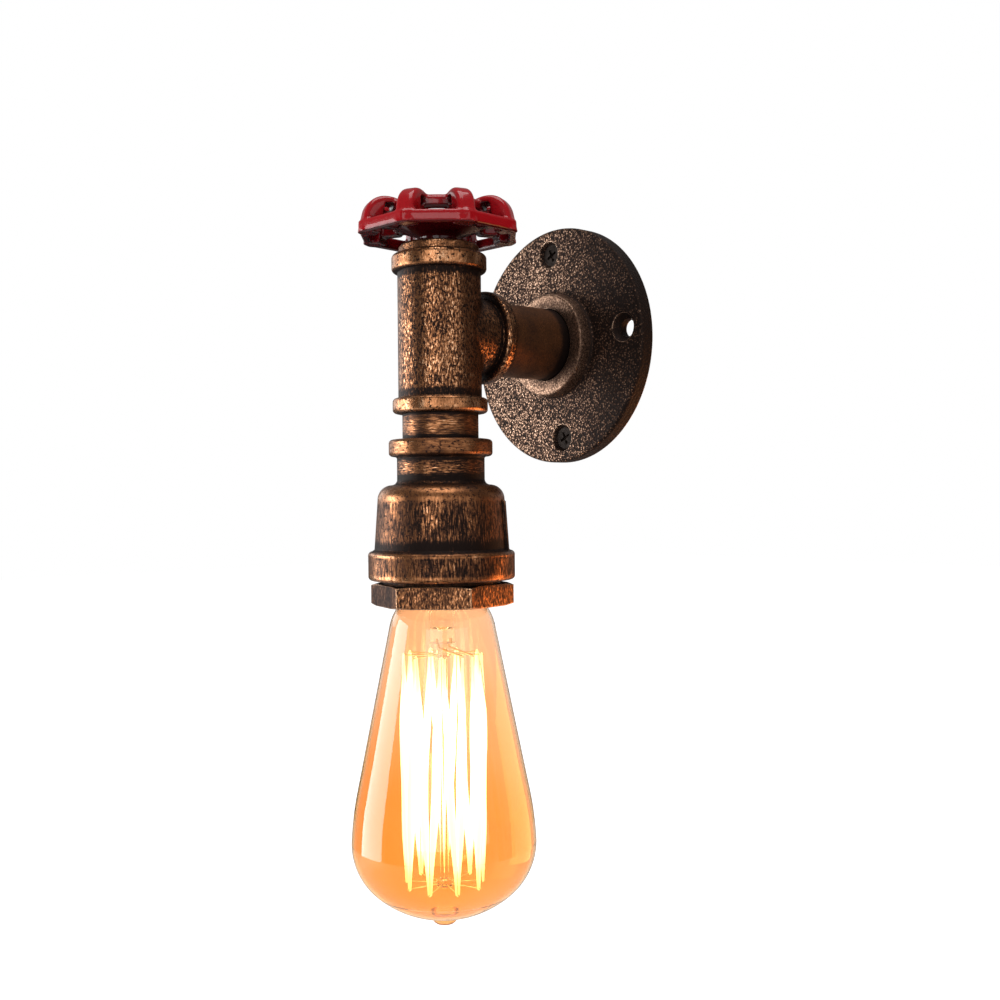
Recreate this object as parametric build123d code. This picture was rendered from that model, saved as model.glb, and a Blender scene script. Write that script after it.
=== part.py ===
from build123d import *
import math
import os

os.makedirs("parts", exist_ok=True)

# Industrial pipe wall light, millimetres.
# Origin: centre of the flange's back face, on the wall. The lamp stands out of the wall
# toward -Y, +Z is up and X runs to the right along the wall.

# ---------------------------------------------------------------- driving dimensions
# where the lamp stands
lamp_axis_depth = 61.0  # wall to the axis of the lamp
clearance = 0.3  # between pieces that do not touch
slip_fit = 0.05  # radial fit of a pin, shank or insert in its hole
overrun = 1.0  # a cutter runs this far past the face it opens
skim = 0.1  # a turned crown starts this far outside a hexagon's corners

# pipe, 3/4 inch size, and its threaded ends
pipe_r = 13.2
pipe_wall = 2.8
thread_step = 0.45  # mean radius of the screwed end is this much under the pipe's
thread_fit = 0.05
engagement = 9.0  # screwed length inside a fitting
socket_extra = 0.4  # socket is deeper than the screwed end
thread_chamfer = 0.8

# wall flange
flange_r = 44.0
flange_thick = 5.5
flange_edge = 1.0
hub_wall = 6.16  # metal round the screwed bore
hub_taper = 0.54
hub_height = 5.4
hub_fillet = 1.3
hub_edge = 0.9
hole_circle_r = 35.0
hole_count = 4
hole_turn = 5.2  # the hole pattern is turned a little from level
hole_r = 3.25
countersink_r = 5.2
countersink_depth = 2.6

# wall screws
screw_places = (1, 3)  # top and bottom holes, counted from the right-hand hole
screw_head_r = 4.0
screw_shank_r = 1.95
screw_core_r = 1.45
screw_length = 20.0
screw_tip = 3.5
screw_neck = 0.5  # taper under the head
screw_runout = 0.6  # taper down to the thread's core
screw_turn = 20.0  # the cross recess is turned this far
cross_reach = 2.48
cross_width = 1.2
cross_depth = 1.3

# tee
tee_wall = 3.0
socket_wall = 1.7  # metal round a socket in the tee's run
arm_step = 0.9  # the side arm is this much thinner than the run
tee_up = 27.0
tee_down = 27.8
tee_branch = 22.5
bead_proud = 2.0
bead_up = 6.0
bead_down = 5.2
bead_branch = 4.6
bead_round = 1.3
tee_blend = 2.0

# bonnet plug on top of the tee, and the stem that turns in it
plug_inset = 2.55  # plug's disc is this much smaller than the tee's bead
plug_gap = 0.4
plug_disc = 2.9
plug_edge = 0.7
plug_wall = 3.25
plug_cup_depth = 6.0
stem_r = 3.0
stem_square = 4.2
stem_thread_r = 2.0
stem_thread = 5.4
stem_tail = 1.7
thrust_r = 5.5
thrust_thick = 2.0
square_short = 0.2  # square ends this far inside the wheel's hub
running_fit = 0.06

# handwheel
wheel_r = 29.0  # across the corners of the band
wheel_sides = 8
wheel_turn = 26.9  # angle of the first corner
band_height = 4.3
band_thick = 2.8
band_edge = 1.0
knuckle_width = 6.4
knuckle_rise = 12.9  # bottom of the band to the crown of a knuckle
knuckle_inset = 0.2  # a knuckle's outer face inside the band's corner
knuckle_leg = 7.0  # radial depth of a knuckle's outer leg
knuckle_roof = 2.8
knuckle_face = 6.8  # height of the knuckle's sloping outer face
knuckle_slope = 1.6  # how far that face leans in
knuckle_crown = 9.4  # crown is this far inside the corners
knuckle_fall = 0.9  # the crown falls this much toward the ring
knuckle_elbow = 1.6  # slope of the leg's inner face
knuckle_round = 1.6
web_width = 4.4  # web that closes a knuckle's arch below and carries the dish
web_low = 2.2  # above the bottom of the band
web_high = 7.8
ring_inset = 11.8  # ring's outside is this far inside the corners
ring_width = 3.6
ring_height = 4.6
ring_edge = 1.1
ring_below_crown = 1.3
dish_short = 1.2  # dish ends this far inside the ring's outside
dish_below_ring = 1.6
dish_rim = 1.8
hub_chamfer = 0.6
dish_thick = 2.6
wheel_hub_r = 6.4
wheel_hub_height = 5.8
hub_gap = 0.4  # hub above the plug
hub_below_band = 2.1
nut_flats = 8.0
nut_height = 3.6
nut_crown = 0.5
washer_r = 5.0
washer_thick = 0.8

# lower nipple shows between tee and reducer
lower_shown = 9.1

# reducing bell
collar_wall = 5.2  # metal round the screwed socket
collar_height = 5.8
neck_wall = 2.4
neck_height = 8.3
neck_chamfer = 0.6
neck_blend_rise = 0.4  # the blend to the shoulder starts this far above it
throat_lip = 1.8
shoulder_height = 7.0
shoulder_round = 5.04
bell_round = 1.3
bell_r = 23.2
bell_flare = 1.2
bell_height = 17.4
bell_bead_proud = 2.2
bell_bead_height = 9.9
bell_wall = 2.7
bell_bead_slope = 0.7
bushing_runout = 1.2  # screwed bore runs on above the bushing
ceiling_below_shoulder = 5.7  # inner ceiling under the start of the shoulder
rib_width = 1.8
rib_proud = 0.9
rib_turn = 31.6
rib_start = 0.6  # above the straight skirt
rib_nose = 1.0  # height of the rib's sloping end
rib_sunk = 0.5  # into the bead, and out of sight
rib_toe = 0.2

# hexagon bushing
bushing_thread_wall = 4.45  # bell's metal round the bushing's thread, at the bead
hex_proud = 0.65  # hexagon's flats beyond the thread
hex_height = 7.5
hex_gap = 1.3
hex_turn = 44.15
hex_chamfer = 0.6
hex_crown = 1.2  # the chamfer begins this far outside the flats
hex_bore_chamfer = 0.5
relief_step = 1.0  # relief between hexagon and thread
relief_end = 0.2
bushing_wall = 3.35
bushing_engagement = 11.6

# ceramic lampholder
ceramic_gap = 0.4  # skirt inside the bushing's bore
ceramic_roof = 6.8
ceramic_skirt_short = 3.6  # skirt ends this far above the bushing's lower face
ceramic_chamfer = 0.5
shell_fit = 0.15
post_fit = 0.1
shell_wall = 0.4
shell_short = 3.0
post_inset = 4.5  # a post's middle inside the bell's throat
post_size = (5.8, 7.8, 6.0)
post_proud = 1.0
post_screw_y = -2.1
post_screw_r = 1.4
post_screw_length = 4.0
post_head_r = 2.3
post_head_height = 1.8
slot_width = 0.7
slot_depth = 0.8
rivet_r = 0.8
live_rivet_in = 0.9  # live rivet is nearer the axis than its post's middle
shell_rivet_out = 2.1  # shell's rivet is farther out
shell_rivet_edge = 1.1  # shell's metal inside its rivet
tongue_width = 4.4
tongue_thick = 0.4
tongue_drop = 1.2
tongue_root = 1.4  # root beyond the rivet's middle
tongue_flat = 2.6  # rivet's middle to the first bend
tongue_bend = 2.4  # length of the sloping part
tongue_bevel = 0.2
tongue_end = 3.2  # free end beyond the lamp's axis

# leads and the connector block in the branch
lead_d = 2.4
lead_hole_y = 2.3
lead_fit = 0.1
lead_row_y = 1.2  # where the leads run in the pipe
lead_straight = 6.0  # above the post
lead_joggle = 17.0  # height above the post where they lie together
lead_gather = 8.0  # before the block, where they close up again
lead_enter = 2.5
lead_radii = (20.0, 20.0, 12.0, 14.0, 10.0)
lead_in_post = 3.0
lead_spacing = 3.0  # half the distance between the leads in the pipe
block_share = 1.577  # block's width over the pipe's bore radius
block_depth = 13.0
block_from_wall = 8.7
block_tube_r = 2.6
block_tube_bore_r = 1.5
block_tube_short = 1.0
block_screw_r = 1.3
block_screw_y = 3.4
block_screw_sunk = 1.0
block_lead_depth = 3.0
block_round = 1.0
block_groove = (1.6, 1.8)
grub_slot = (0.5, 0.6)

# bulb, long pear shape with a 27 mm screw cap
cap_r = 13.05
cap_wall = 0.35
cap_height = 19.5
cap_cone = 2.8
cap_top_r = 8.5
cap_cone_slip = 0.1  # cone's inside under its outside, beyond the wall
insulator_r = 4.2
insulator_height = 2.4
insulator_sunk = 0.9  # its middle inside the cap
insulator_edge = 0.4
tip_r = 3.4
tip_height = 1.2
tip_round = 0.8
contact_gap = 0.3
glass_wall = 0.8
glass_gap = 0.4  # neck inside the cap
glass_in_cap = 8.0
glass_shoulder_r = 18.2
glass_shoulder_drop = 9.5
glass_neck_swell = 3.3  # middle of the neck's curve, out from the neck
glass_neck_drop = 3.61
glass_swell_in = 2.1  # side's lower end inside the widest radius
glass_swell_drop = 67.5
glass_r = 32.0
glass_widest_drop = 84.5
glass_hip = 0.35
glass_dome = 26.0
glass_foot_wide = 5.0  # foot's sphere is this much wider than the glass
nub_r = 4.7
nub_height = 3.4
nub_sunk = 1.2
nub_flare = 0.6
nub_neck = 0.2
nub_land_r = 3.29
nub_land_drop = 2.55

# stem and filament inside the bulb
flare_gap = 0.1  # flare inside the neck
flare_rise = 2.5  # flare's edge above the cap's rim
flare_edge = 1.0
flare_root = 3.0  # below the cap's rim
flare_root_in = 1.8
stem_tube_wall = 0.9
stem_tube_bore_drop = 3.5
stem_pinch = 5.0  # solid pinched end of the tube
stem_pinch_dip = 1.0
stem_tube_r = 4.6
stem_tube_drop = 16.0
rod_r = 1.6
button_r = 3.0
button_height = 3.0
button_round = 1.2
cage_top_drop = 20.0  # below the cap's rim
cage_bottom_drop = 99.5
cage_r = 13.6
hook_count = 9
hook_gap = 0.45  # half the width of the filament's turn at a hook
filament_r = 0.16
hook_r = 0.22
hook_in = 0.4  # hook starts this far outside the rod
hook_out = 0.9  # and ends this far outside the filament
hook_bend = 0.3825
lead_in_r = 0.35
lead_in_half_angle = 9.0
lead_in_start = (2.0, 90.0, 1.5)  # radius, angle and height over the tube's end
lead_in_middle = (2.4, 70.0, -1.6)
lead_in_rise = 0.6  # its end above the upper hooks
lead_in_bend = 0.8
filament_rise = 0.2  # filament's ends above the upper hooks

# ---------------------------------------------------------------- derived levels
pipe_bore_r = pipe_r - pipe_wall
thread_r = pipe_r - thread_step
socket_r = thread_r + thread_fit
socket_depth = engagement + socket_extra
hub_r = socket_r + hub_wall
hub_base_r = hub_r + hub_taper
tee_r = socket_r + socket_wall
tee_arm_r = tee_r - arm_step
tee_cavity_r = tee_r - tee_wall
bead_r = tee_r + bead_proud
plug_r = bead_r - plug_inset
plug_cup_r = thread_r - plug_wall
# branch nipple shows between hub face and tee
branch_shown = lamp_axis_depth - flange_thick - hub_height - tee_branch

ring_outer_r = wheel_r - ring_inset
ring_inner_r = ring_outer_r - ring_width
dish_r = ring_outer_r - dish_short
knuckle_outer = wheel_r - knuckle_inset

collar_r = socket_r + collar_wall
neck_r = socket_r + neck_wall
throat_r = socket_r - throat_lip
bell_top_r = bell_r - bell_flare
bell_bead_r = bell_r + bell_bead_proud
bell_bore_r = bell_top_r - bell_wall
bushing_thread_r = bell_bead_r - bushing_thread_wall
bushing_bore_r = bushing_thread_r - bushing_wall
hex_flats = 2 * (bushing_thread_r + hex_proud)

ceramic_r = bell_bore_r - clearance
ceramic_skirt_r = bushing_bore_r - ceramic_gap
shell_inner_r = cap_r + clearance
post_x = throat_r - post_inset
live_rivet_x = post_x - live_rivet_in
shell_rivet_x = post_x + shell_rivet_out
shell_hole_r = shell_rivet_x - shell_rivet_edge

block_width = block_share * pipe_bore_r
block_height = 2 * math.sqrt((pipe_bore_r - clearance) ** 2 - (block_width / 2) ** 2)
block_size = (block_width, block_depth, block_height)
block_tube_x = block_width / 4

glass_neck_r = cap_r - cap_wall - glass_gap
glass_swell_r = glass_r - glass_swell_in
glass_foot_r = glass_r + glass_foot_wide
flare_r = glass_neck_r - glass_wall - flare_gap

plug_bottom = tee_up - engagement
plug_seat = tee_up + plug_gap
plug_top = plug_seat + plug_disc
cup_ceiling = plug_bottom + plug_cup_depth
wheel_hub_bottom = plug_top + hub_gap
wheel_hub_top = wheel_hub_bottom + wheel_hub_height
band_bottom = wheel_hub_bottom + hub_below_band
knuckle_top = band_bottom + knuckle_rise
ring_top = knuckle_top - ring_below_crown
ring_bottom = ring_top - ring_height
dish_top = ring_bottom - dish_below_ring

bell_top = -tee_down - lower_shown
neck_top = bell_top - collar_height
shoulder_top = neck_top - neck_height
bell_ceiling = shoulder_top - ceiling_below_shoulder
bell_wide = shoulder_top - shoulder_height
bell_bead_top = bell_wide - bell_height
bell_bottom = bell_bead_top - bell_bead_height
hex_top = bell_bottom - hex_gap
hex_bottom = hex_top - hex_height
bushing_top = hex_top + bushing_engagement

skirt_bottom = hex_bottom + ceramic_skirt_short
shell_ceiling = bell_ceiling - ceramic_roof
shell_bottom = skirt_bottom + shell_short
shell_outer_r = shell_inner_r + shell_wall
post_bottom = bell_ceiling + post_proud - post_size[2]
post_top = bell_ceiling + post_proud
tongue_bottom = shell_ceiling - tongue_thick - tongue_drop

tip_top = tongue_bottom - contact_gap
tip_bottom = tip_top - tip_height
insulator_bottom = tip_bottom - insulator_height
cap_cone_bottom = insulator_bottom - cap_cone
cap_bottom = cap_cone_bottom - cap_height
cage_top = cap_bottom - cage_top_drop
cage_bottom = cap_bottom - cage_bottom_drop

at_lamp = Pos(0, -lamp_axis_depth, 0)
out_of_wall = Rot(90, 0, 0)  # a piece turned about Z comes to stand out of the wall


# ---------------------------------------------------------------- helpers
def turned(*outline):
    """Solid of revolution about Z from (radius, height) corners, closed in order."""
    face = Plane.XZ * make_face(Polyline(*outline, close=True))
    return revolve(face, Axis.Z)


def rod(radius, low, high, x=0.0, y=0.0):
    """Upright round bar between two heights."""
    height = high - low
    return Pos(x, y, low) * Cylinder(radius, height, align=(Align.CENTER, Align.CENTER, Align.MIN))


def block(length, depth, low, high, x=0.0, y=0.0):
    """Upright square bar between two heights."""
    height = high - low
    return Pos(x, y, low) * Box(length, depth, height, align=(Align.CENTER, Align.CENTER, Align.MIN))


def rim_edges(shape, radius, height):
    """Circular edges of one radius at one height."""
    rings = shape.edges().filter_by(GeomType.CIRCLE)
    return [e for e in rings if abs(e.radius - radius) < 1e-3 and abs(e.center().Z - height) < 1e-3]


def bead(radius, low, high, rounding):
    """Plain reinforcing band of a fitting with both outer edges rounded."""
    band = rod(radius, low, high)
    return fillet(rim_edges(band, radius, low) + rim_edges(band, radius, high), rounding)


def nipple(shown, first_engagement, second_engagement):
    """Pipe with a reduced screwed end at each side; its shown length starts at height 0."""
    low = -first_engagement
    high = shown + second_engagement
    return turned(
        (pipe_bore_r, low),
        (thread_r - thread_chamfer, low),
        (thread_r, low + thread_chamfer),
        (thread_r, 0),
        (pipe_r, 0),
        (pipe_r, shown),
        (thread_r, shown),
        (thread_r, high - thread_chamfer),
        (thread_r - thread_chamfer, high),
        (pipe_bore_r, high),
    )


def tube_along(path, radius):
    """Round wire swept along a path; its volume is printed beside section times length."""
    wire = sweep(Plane(path @ 0, z_dir=path % 0) * Circle(radius), path=path)
    print(f"wire {radius * 2:.2f} thick, {path.length:.1f} long,"
          f" volume {wire.volume:.2f} of {math.pi * radius ** 2 * path.length:.2f}")
    return wire


def ring_point(radius, angle, height):
    """Point on a circle about the lamp axis."""
    turn = math.radians(angle)
    return (radius * math.cos(turn), radius * math.sin(turn), height)


# ---------------------------------------------------------------- wall side
def make_flange():
    """Round wall flange with a raised hub, a screwed bore and four countersunk holes."""
    front = flange_thick + hub_height
    body = turned(
        (socket_r, 0),
        (flange_r, 0),
        (flange_r, flange_thick),
        (hub_base_r, flange_thick),
        (hub_r, front),
        (socket_r + thread_chamfer, front),
        (socket_r, front - thread_chamfer),
    )
    body = fillet(rim_edges(body, hub_base_r, flange_thick), hub_fillet)
    body = fillet(rim_edges(body, hub_r, front), hub_edge)
    body = fillet(rim_edges(body, flange_r, flange_thick), flange_edge)
    cone_bottom = flange_thick - countersink_depth
    hole = turned(
        (0, -overrun),
        (hole_r, -overrun),
        (hole_r, cone_bottom),
        (countersink_r, flange_thick),
        (countersink_r, flange_thick + overrun),
        (0, flange_thick + overrun),
    )
    for place in range(hole_count):
        body -= Rot(0, 0, hole_turn + place * 360 / hole_count) * Pos(hole_circle_r, 0, 0) * hole
    return out_of_wall * body


def make_wall_screw():
    """Countersunk cross-head screw, its head resting in the countersink."""
    slope = (countersink_r - hole_r) / countersink_depth
    head_top = flange_thick - (countersink_r - screw_head_r) / slope - slip_fit
    head_bottom = head_top - (screw_head_r - screw_shank_r) / slope
    tip = head_top - screw_length
    screw = turned(
        (0, head_top),
        (screw_head_r - slip_fit, head_top),
        (screw_shank_r - slip_fit, head_bottom),
        (screw_shank_r, head_bottom - screw_neck),
        (screw_shank_r, 0),
        (screw_core_r, -screw_runout),
        (screw_core_r, tip + screw_tip),
        (0, tip),
    )
    length = 2 * cross_reach
    cross = block(length, cross_width, head_top - cross_depth, head_top + overrun)
    cross += block(cross_width, length, head_top - cross_depth, head_top + overrun)
    return screw - Rot(0, 0, screw_turn) * cross


def make_wall_screws():
    """The two screws, in the top and the bottom hole."""
    screws = []
    for place in screw_places:
        turn = Rot(0, 0, hole_turn + place * 360 / hole_count)
        screws.append(out_of_wall * turn * Pos(hole_circle_r, 0, 0) * make_wall_screw())
    return screws


def make_branch_nipple():
    """Pipe from the flange's hub to the tee."""
    hub_front = flange_thick + hub_height
    return out_of_wall * Pos(0, 0, hub_front) * nipple(branch_shown, engagement, engagement)


# ---------------------------------------------------------------- tee and lower pipe
def make_tee():
    """Cast tee with a rounded bead at each of its three screwed mouths."""
    to_wall = Rot(-90, 0, 0)
    run = rod(tee_r, -tee_down, tee_up)
    arm = to_wall * rod(tee_arm_r, 0, tee_branch)
    body = run + arm
    saddle = body.edges().filter_by(GeomType.BSPLINE)
    body = fillet(saddle, tee_blend)
    body += bead(bead_r, tee_up - bead_up, tee_up, bead_round)
    body += bead(bead_r, -tee_down, -tee_down + bead_down, bead_round)
    body += to_wall * bead(bead_r, tee_branch - bead_branch, tee_branch, bead_round)
    body -= rod(tee_cavity_r, -tee_down, tee_up)
    body -= to_wall * rod(tee_cavity_r, 0, tee_branch)
    body -= rod(socket_r, tee_up - socket_depth, tee_up)
    body -= rod(socket_r, -tee_down, -tee_down + socket_depth)
    body -= to_wall * rod(socket_r, tee_branch - socket_depth, tee_branch)
    return at_lamp * body


def make_lower_nipple():
    """Short pipe from the tee down to the reducing bell."""
    return at_lamp * Pos(0, 0, -tee_down - lower_shown) * nipple(lower_shown, engagement, engagement)


# ---------------------------------------------------------------- valve top
def make_bonnet_plug():
    """Plug screwed into the tee's top, cupped below, with the stem's bore through it."""
    plug = turned(
        (stem_r + running_fit, plug_top),
        (plug_r - plug_edge, plug_top),
        (plug_r, plug_top - plug_edge),
        (plug_r, plug_seat),
        (thread_r, plug_seat),
        (thread_r, plug_bottom + thread_chamfer),
        (thread_r - thread_chamfer, plug_bottom),
        (plug_cup_r, plug_bottom),
        (plug_cup_r, cup_ceiling),
        (stem_r + running_fit, cup_ceiling),
    )
    return at_lamp * plug


def make_valve_stem():
    """Stem with a thrust collar under the plug, a square for the wheel and a threaded end."""
    collar_top = cup_ceiling - clearance
    collar_bottom = collar_top - thrust_thick
    square_top = wheel_hub_top - square_short
    stem = turned(
        (0, collar_bottom - stem_tail),
        (stem_r, collar_bottom - stem_tail),
        (stem_r, collar_bottom),
        (thrust_r, collar_bottom),
        (thrust_r, collar_top),
        (stem_r, collar_top),
        (stem_r, wheel_hub_bottom),
        (0, wheel_hub_bottom),
    )
    stem += block(stem_square, stem_square, wheel_hub_bottom, square_top)
    stem += rod(stem_thread_r, square_top, wheel_hub_top + stem_thread)
    return at_lamp * Rot(0, 0, wheel_turn) * stem


def make_knuckle():
    """One knuckle of the wheel along +X: a domed leg that arches in to the ring over a web."""
    low = band_bottom
    leg_foot = (knuckle_outer - knuckle_leg, low)
    outer_foot = (knuckle_outer, low)
    shoulder = (knuckle_outer - knuckle_slope, low + knuckle_face)
    crown = (wheel_r - knuckle_crown, knuckle_top)
    inner_end = ring_inner_r + ring_edge
    inner_top = (inner_end, knuckle_top - knuckle_fall)
    roof_low = knuckle_top - knuckle_roof
    elbow = (leg_foot[0] - knuckle_elbow, roof_low)
    with BuildSketch(Plane.XZ.offset(-knuckle_width / 2)) as side:
        with BuildLine():
            Line(leg_foot, outer_foot)
            outer_face = Line(outer_foot, shoulder)
            dome = TangentArc(shoulder, crown, tangent=outer_face % 1)
            TangentArc(crown, inner_top, tangent=dome % 1)
            Line(inner_top, (inner_end, roof_low))
            Line((inner_end, roof_low), elbow)
            Line(elbow, leg_foot)
        make_face()
    knuckle = extrude(side.sketch, knuckle_width)
    flanks = [e for e in knuckle.edges() if abs(abs(e.center().Y) - knuckle_width / 2) < 1e-3]
    upper = [e for e in flanks if e.center().Z > low + overrun and e.center().X > inner_end + skim]
    shown = [e for e in upper if e.center().Z > roof_low + skim or e.center().X > shoulder[0]]
    knuckle = fillet(shown, knuckle_round)
    web = block(leg_foot[0] - dish_r + 2 * overrun, web_width, low + web_low, low + web_high)
    return knuckle + Pos((leg_foot[0] + dish_r) / 2, 0, 0) * web


def make_handwheel():
    """Cast handwheel: eight-sided band, eight knuckles arching in to a ring, dish and hub."""
    flat_turn = 180 / wheel_sides
    inner_r = wheel_r - band_thick / math.cos(math.radians(flat_turn))
    outline = RegularPolygon(wheel_r, wheel_sides) - RegularPolygon(inner_r, wheel_sides)
    band = extrude(Pos(0, 0, band_bottom) * outline, band_height)
    band = fillet(band.edges().filter_by(Axis.Z), band_edge)
    middle = band_bottom + band_height / 2
    level = [e for e in band.edges() if abs(e.center().Z - middle) > band_height / 2 - 1e-3]
    band = fillet(level, band_edge)
    ring = turned(
        (ring_outer_r - ring_edge, ring_bottom),
        (ring_outer_r, ring_bottom + ring_edge),
        (ring_outer_r, ring_top - ring_edge),
        (ring_outer_r - ring_edge, ring_top),
        (ring_inner_r + ring_edge, ring_top),
        (ring_inner_r, ring_top - ring_edge),
        (ring_inner_r, ring_bottom + ring_edge),
        (ring_inner_r + ring_edge, ring_bottom),
    )
    centre = turned(
        (0, wheel_hub_bottom),
        (wheel_hub_r - hub_chamfer, wheel_hub_bottom),
        (wheel_hub_r, wheel_hub_bottom + hub_chamfer),
        (wheel_hub_r, wheel_hub_top - dish_thick - hub_chamfer),
        (dish_r, dish_top - dish_rim),
        (dish_r, dish_top),
        (wheel_hub_r, wheel_hub_top),
        (0, wheel_hub_top),
    )
    wheel = band + ring + centre
    for side in range(wheel_sides):
        wheel += Rot(0, 0, side * 360 / wheel_sides) * make_knuckle()
    bore = stem_square + 2 * slip_fit
    wheel -= block(bore, bore, wheel_hub_bottom - overrun, wheel_hub_top + overrun)
    return at_lamp * Rot(0, 0, wheel_turn) * wheel


def make_wheel_washer():
    """Flat washer between the wheel's hub and the nut."""
    top = wheel_hub_top + washer_thick
    hole_radius = stem_thread_r + slip_fit
    return at_lamp * (rod(washer_r, wheel_hub_top, top) - rod(hole_radius, wheel_hub_top, top))


def make_wheel_nut():
    """Hexagon nut that holds the wheel on its stem."""
    low = wheel_hub_top + washer_thick
    corner_r = nut_flats / math.sqrt(3)
    nut = extrude(Pos(0, 0, low) * RegularPolygon(corner_r, 6), nut_height)
    crown = turned(
        (0, low),
        (corner_r + skim, low),
        (corner_r + skim, low + nut_height - nut_crown),
        (nut_flats / 2, low + nut_height),
        (0, low + nut_height),
    )
    nut = (nut & crown) - rod(stem_thread_r + slip_fit, low, low + nut_height)
    return at_lamp * Rot(0, 0, wheel_turn) * nut


# ---------------------------------------------------------------- bell and bushing
def make_reducer():
    """Reducing bell: collar, neck, rounded shoulder, flared skirt with two ribs, end bead."""
    with BuildPart() as bell:
        with BuildSketch(Plane.XZ):
            with BuildLine():
                soft = bell_round
                swell = shoulder_round
                throat = shoulder_height - swell
                blend_top = shoulder_top + neck_blend_rise
                Line((throat_r, bell_top), (collar_r - soft, bell_top))
                RadiusArc((collar_r - soft, bell_top), (collar_r, bell_top - soft), soft)
                Line((collar_r, bell_top - soft), (collar_r, neck_top + soft))
                RadiusArc((collar_r, neck_top + soft), (collar_r - soft, neck_top), soft)
                Line((collar_r - soft, neck_top), (neck_r + neck_chamfer, neck_top))
                Line((neck_r + neck_chamfer, neck_top), (neck_r, neck_top - neck_chamfer))
                Line((neck_r, neck_top - neck_chamfer), (neck_r, blend_top))
                foot = (neck_r + throat, blend_top - throat)
                RadiusArc((neck_r, blend_top), foot, -throat)
                Line(foot, (bell_top_r - swell, foot[1]))
                knee = (bell_top_r, foot[1] - swell)
                RadiusArc((bell_top_r - swell, foot[1]), knee, swell)
                Line(knee, (bell_r, bell_bead_top + bell_bead_slope))
                Line((bell_r, bell_bead_top + bell_bead_slope), (bell_bead_r - soft, bell_bead_top))
                RadiusArc((bell_bead_r - soft, bell_bead_top), (bell_bead_r, bell_bead_top - soft), soft)
                Line((bell_bead_r, bell_bead_top - soft), (bell_bead_r, bell_bottom + soft))
                RadiusArc((bell_bead_r, bell_bottom + soft), (bell_bead_r - soft, bell_bottom), soft)
                counterbore_r = bushing_thread_r + thread_fit
                counterbore_top = bushing_top + bushing_runout
                Line((bell_bead_r - soft, bell_bottom), (counterbore_r, bell_bottom))
                Line((counterbore_r, bell_bottom), (counterbore_r, counterbore_top))
                Line((counterbore_r, counterbore_top), (bell_bore_r, counterbore_top))
                Line((bell_bore_r, counterbore_top), (bell_bore_r, bell_ceiling))
                Line((bell_bore_r, bell_ceiling), (throat_r, bell_ceiling))
                Line((throat_r, bell_ceiling), (throat_r, bell_top))
            make_face()
        revolve(axis=Axis.Z)
    body = bell.part
    body -= rod(socket_r, bell_top - socket_depth, bell_top)
    rib_top = bell_wide + rib_start
    rib_root_r = (bushing_thread_r + bell_top_r) / 2
    flare = (bell_r - bell_top_r) / (rib_top - bell_bead_top)
    rib_face = Plane.XZ * make_face(Polyline(
        (rib_root_r, bell_bead_top - rib_sunk),
        (bell_r + rib_proud, bell_bead_top - rib_sunk),
        (bell_r + rib_proud, bell_bead_top),
        (bell_top_r + rib_proud + flare, rib_top - rib_nose),
        (bell_top_r - rib_toe, rib_top),
        (rib_root_r, rib_top),
        close=True,
    ))
    rib = revolve(rib_face, Axis.Z, math.degrees(rib_width / bell_r))
    for side in (0, 180):
        body += Rot(0, 0, rib_turn + side) * rib
    return at_lamp * body


def make_hex_bushing():
    """Hexagon bushing screwed into the bell, its bore open round the bulb."""
    corner_r = hex_flats / math.sqrt(3)
    head = extrude(Pos(0, 0, hex_bottom) * RegularPolygon(corner_r, 6), hex_height)
    crown = turned(
        (0, hex_bottom),
        (hex_flats / 2 + hex_crown, hex_bottom),
        (corner_r + skim, hex_bottom + hex_chamfer),
        (corner_r + skim, hex_top - hex_chamfer),
        (hex_flats / 2 + hex_crown, hex_top),
        (0, hex_top),
    )
    head = head & crown
    sleeve = turned(
        (0, hex_top),
        (bushing_thread_r - relief_step, hex_top),
        (bushing_thread_r - relief_step, bell_bottom + relief_end),
        (bushing_thread_r, bell_bottom + relief_end + relief_step),
        (bushing_thread_r, bushing_top - thread_chamfer),
        (bushing_thread_r - thread_chamfer, bushing_top),
        (0, bushing_top),
    )
    bushing = head + sleeve - rod(bushing_bore_r, hex_bottom, bushing_top)
    bushing = chamfer(rim_edges(bushing, bushing_bore_r, hex_bottom), hex_bore_chamfer)
    return at_lamp * Rot(0, 0, hex_turn) * bushing


# ---------------------------------------------------------------- lampholder
def post_spots():
    """Sideways places of the live and the neutral post."""
    return (post_x, -post_x)


def make_lampholder():
    """Ceramic holder: wide top clamped between the bell's ceiling and the bushing, skirt below."""
    bore_r = shell_outer_r + shell_fit
    body = turned(
        (bore_r, skirt_bottom),
        (ceramic_skirt_r - ceramic_chamfer, skirt_bottom),
        (ceramic_skirt_r, skirt_bottom + ceramic_chamfer),
        (ceramic_skirt_r, bushing_top),
        (ceramic_r, bushing_top),
        (ceramic_r, bell_ceiling),
        (0, bell_ceiling),
        (0, shell_ceiling),
        (bore_r, shell_ceiling),
    )
    length = post_size[0] + 2 * post_fit
    depth = post_size[1] + 2 * post_fit
    for x in post_spots():
        body -= block(length, depth, post_bottom, bell_ceiling + overrun, x)
    for x in (live_rivet_x, -shell_rivet_x):
        body -= rod(rivet_r + slip_fit, shell_ceiling - overrun, post_bottom + overrun, x)
    return at_lamp * body


def make_socket_shell():
    """Thin metal shell that takes the bulb's cap, its top turned in under the ceramic."""
    shell = turned(
        (shell_inner_r, shell_bottom),
        (shell_outer_r, shell_bottom),
        (shell_outer_r, shell_ceiling),
        (shell_hole_r, shell_ceiling),
        (shell_hole_r, shell_ceiling - shell_wall),
        (shell_inner_r, shell_ceiling - shell_wall),
    )
    return at_lamp * shell


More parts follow.
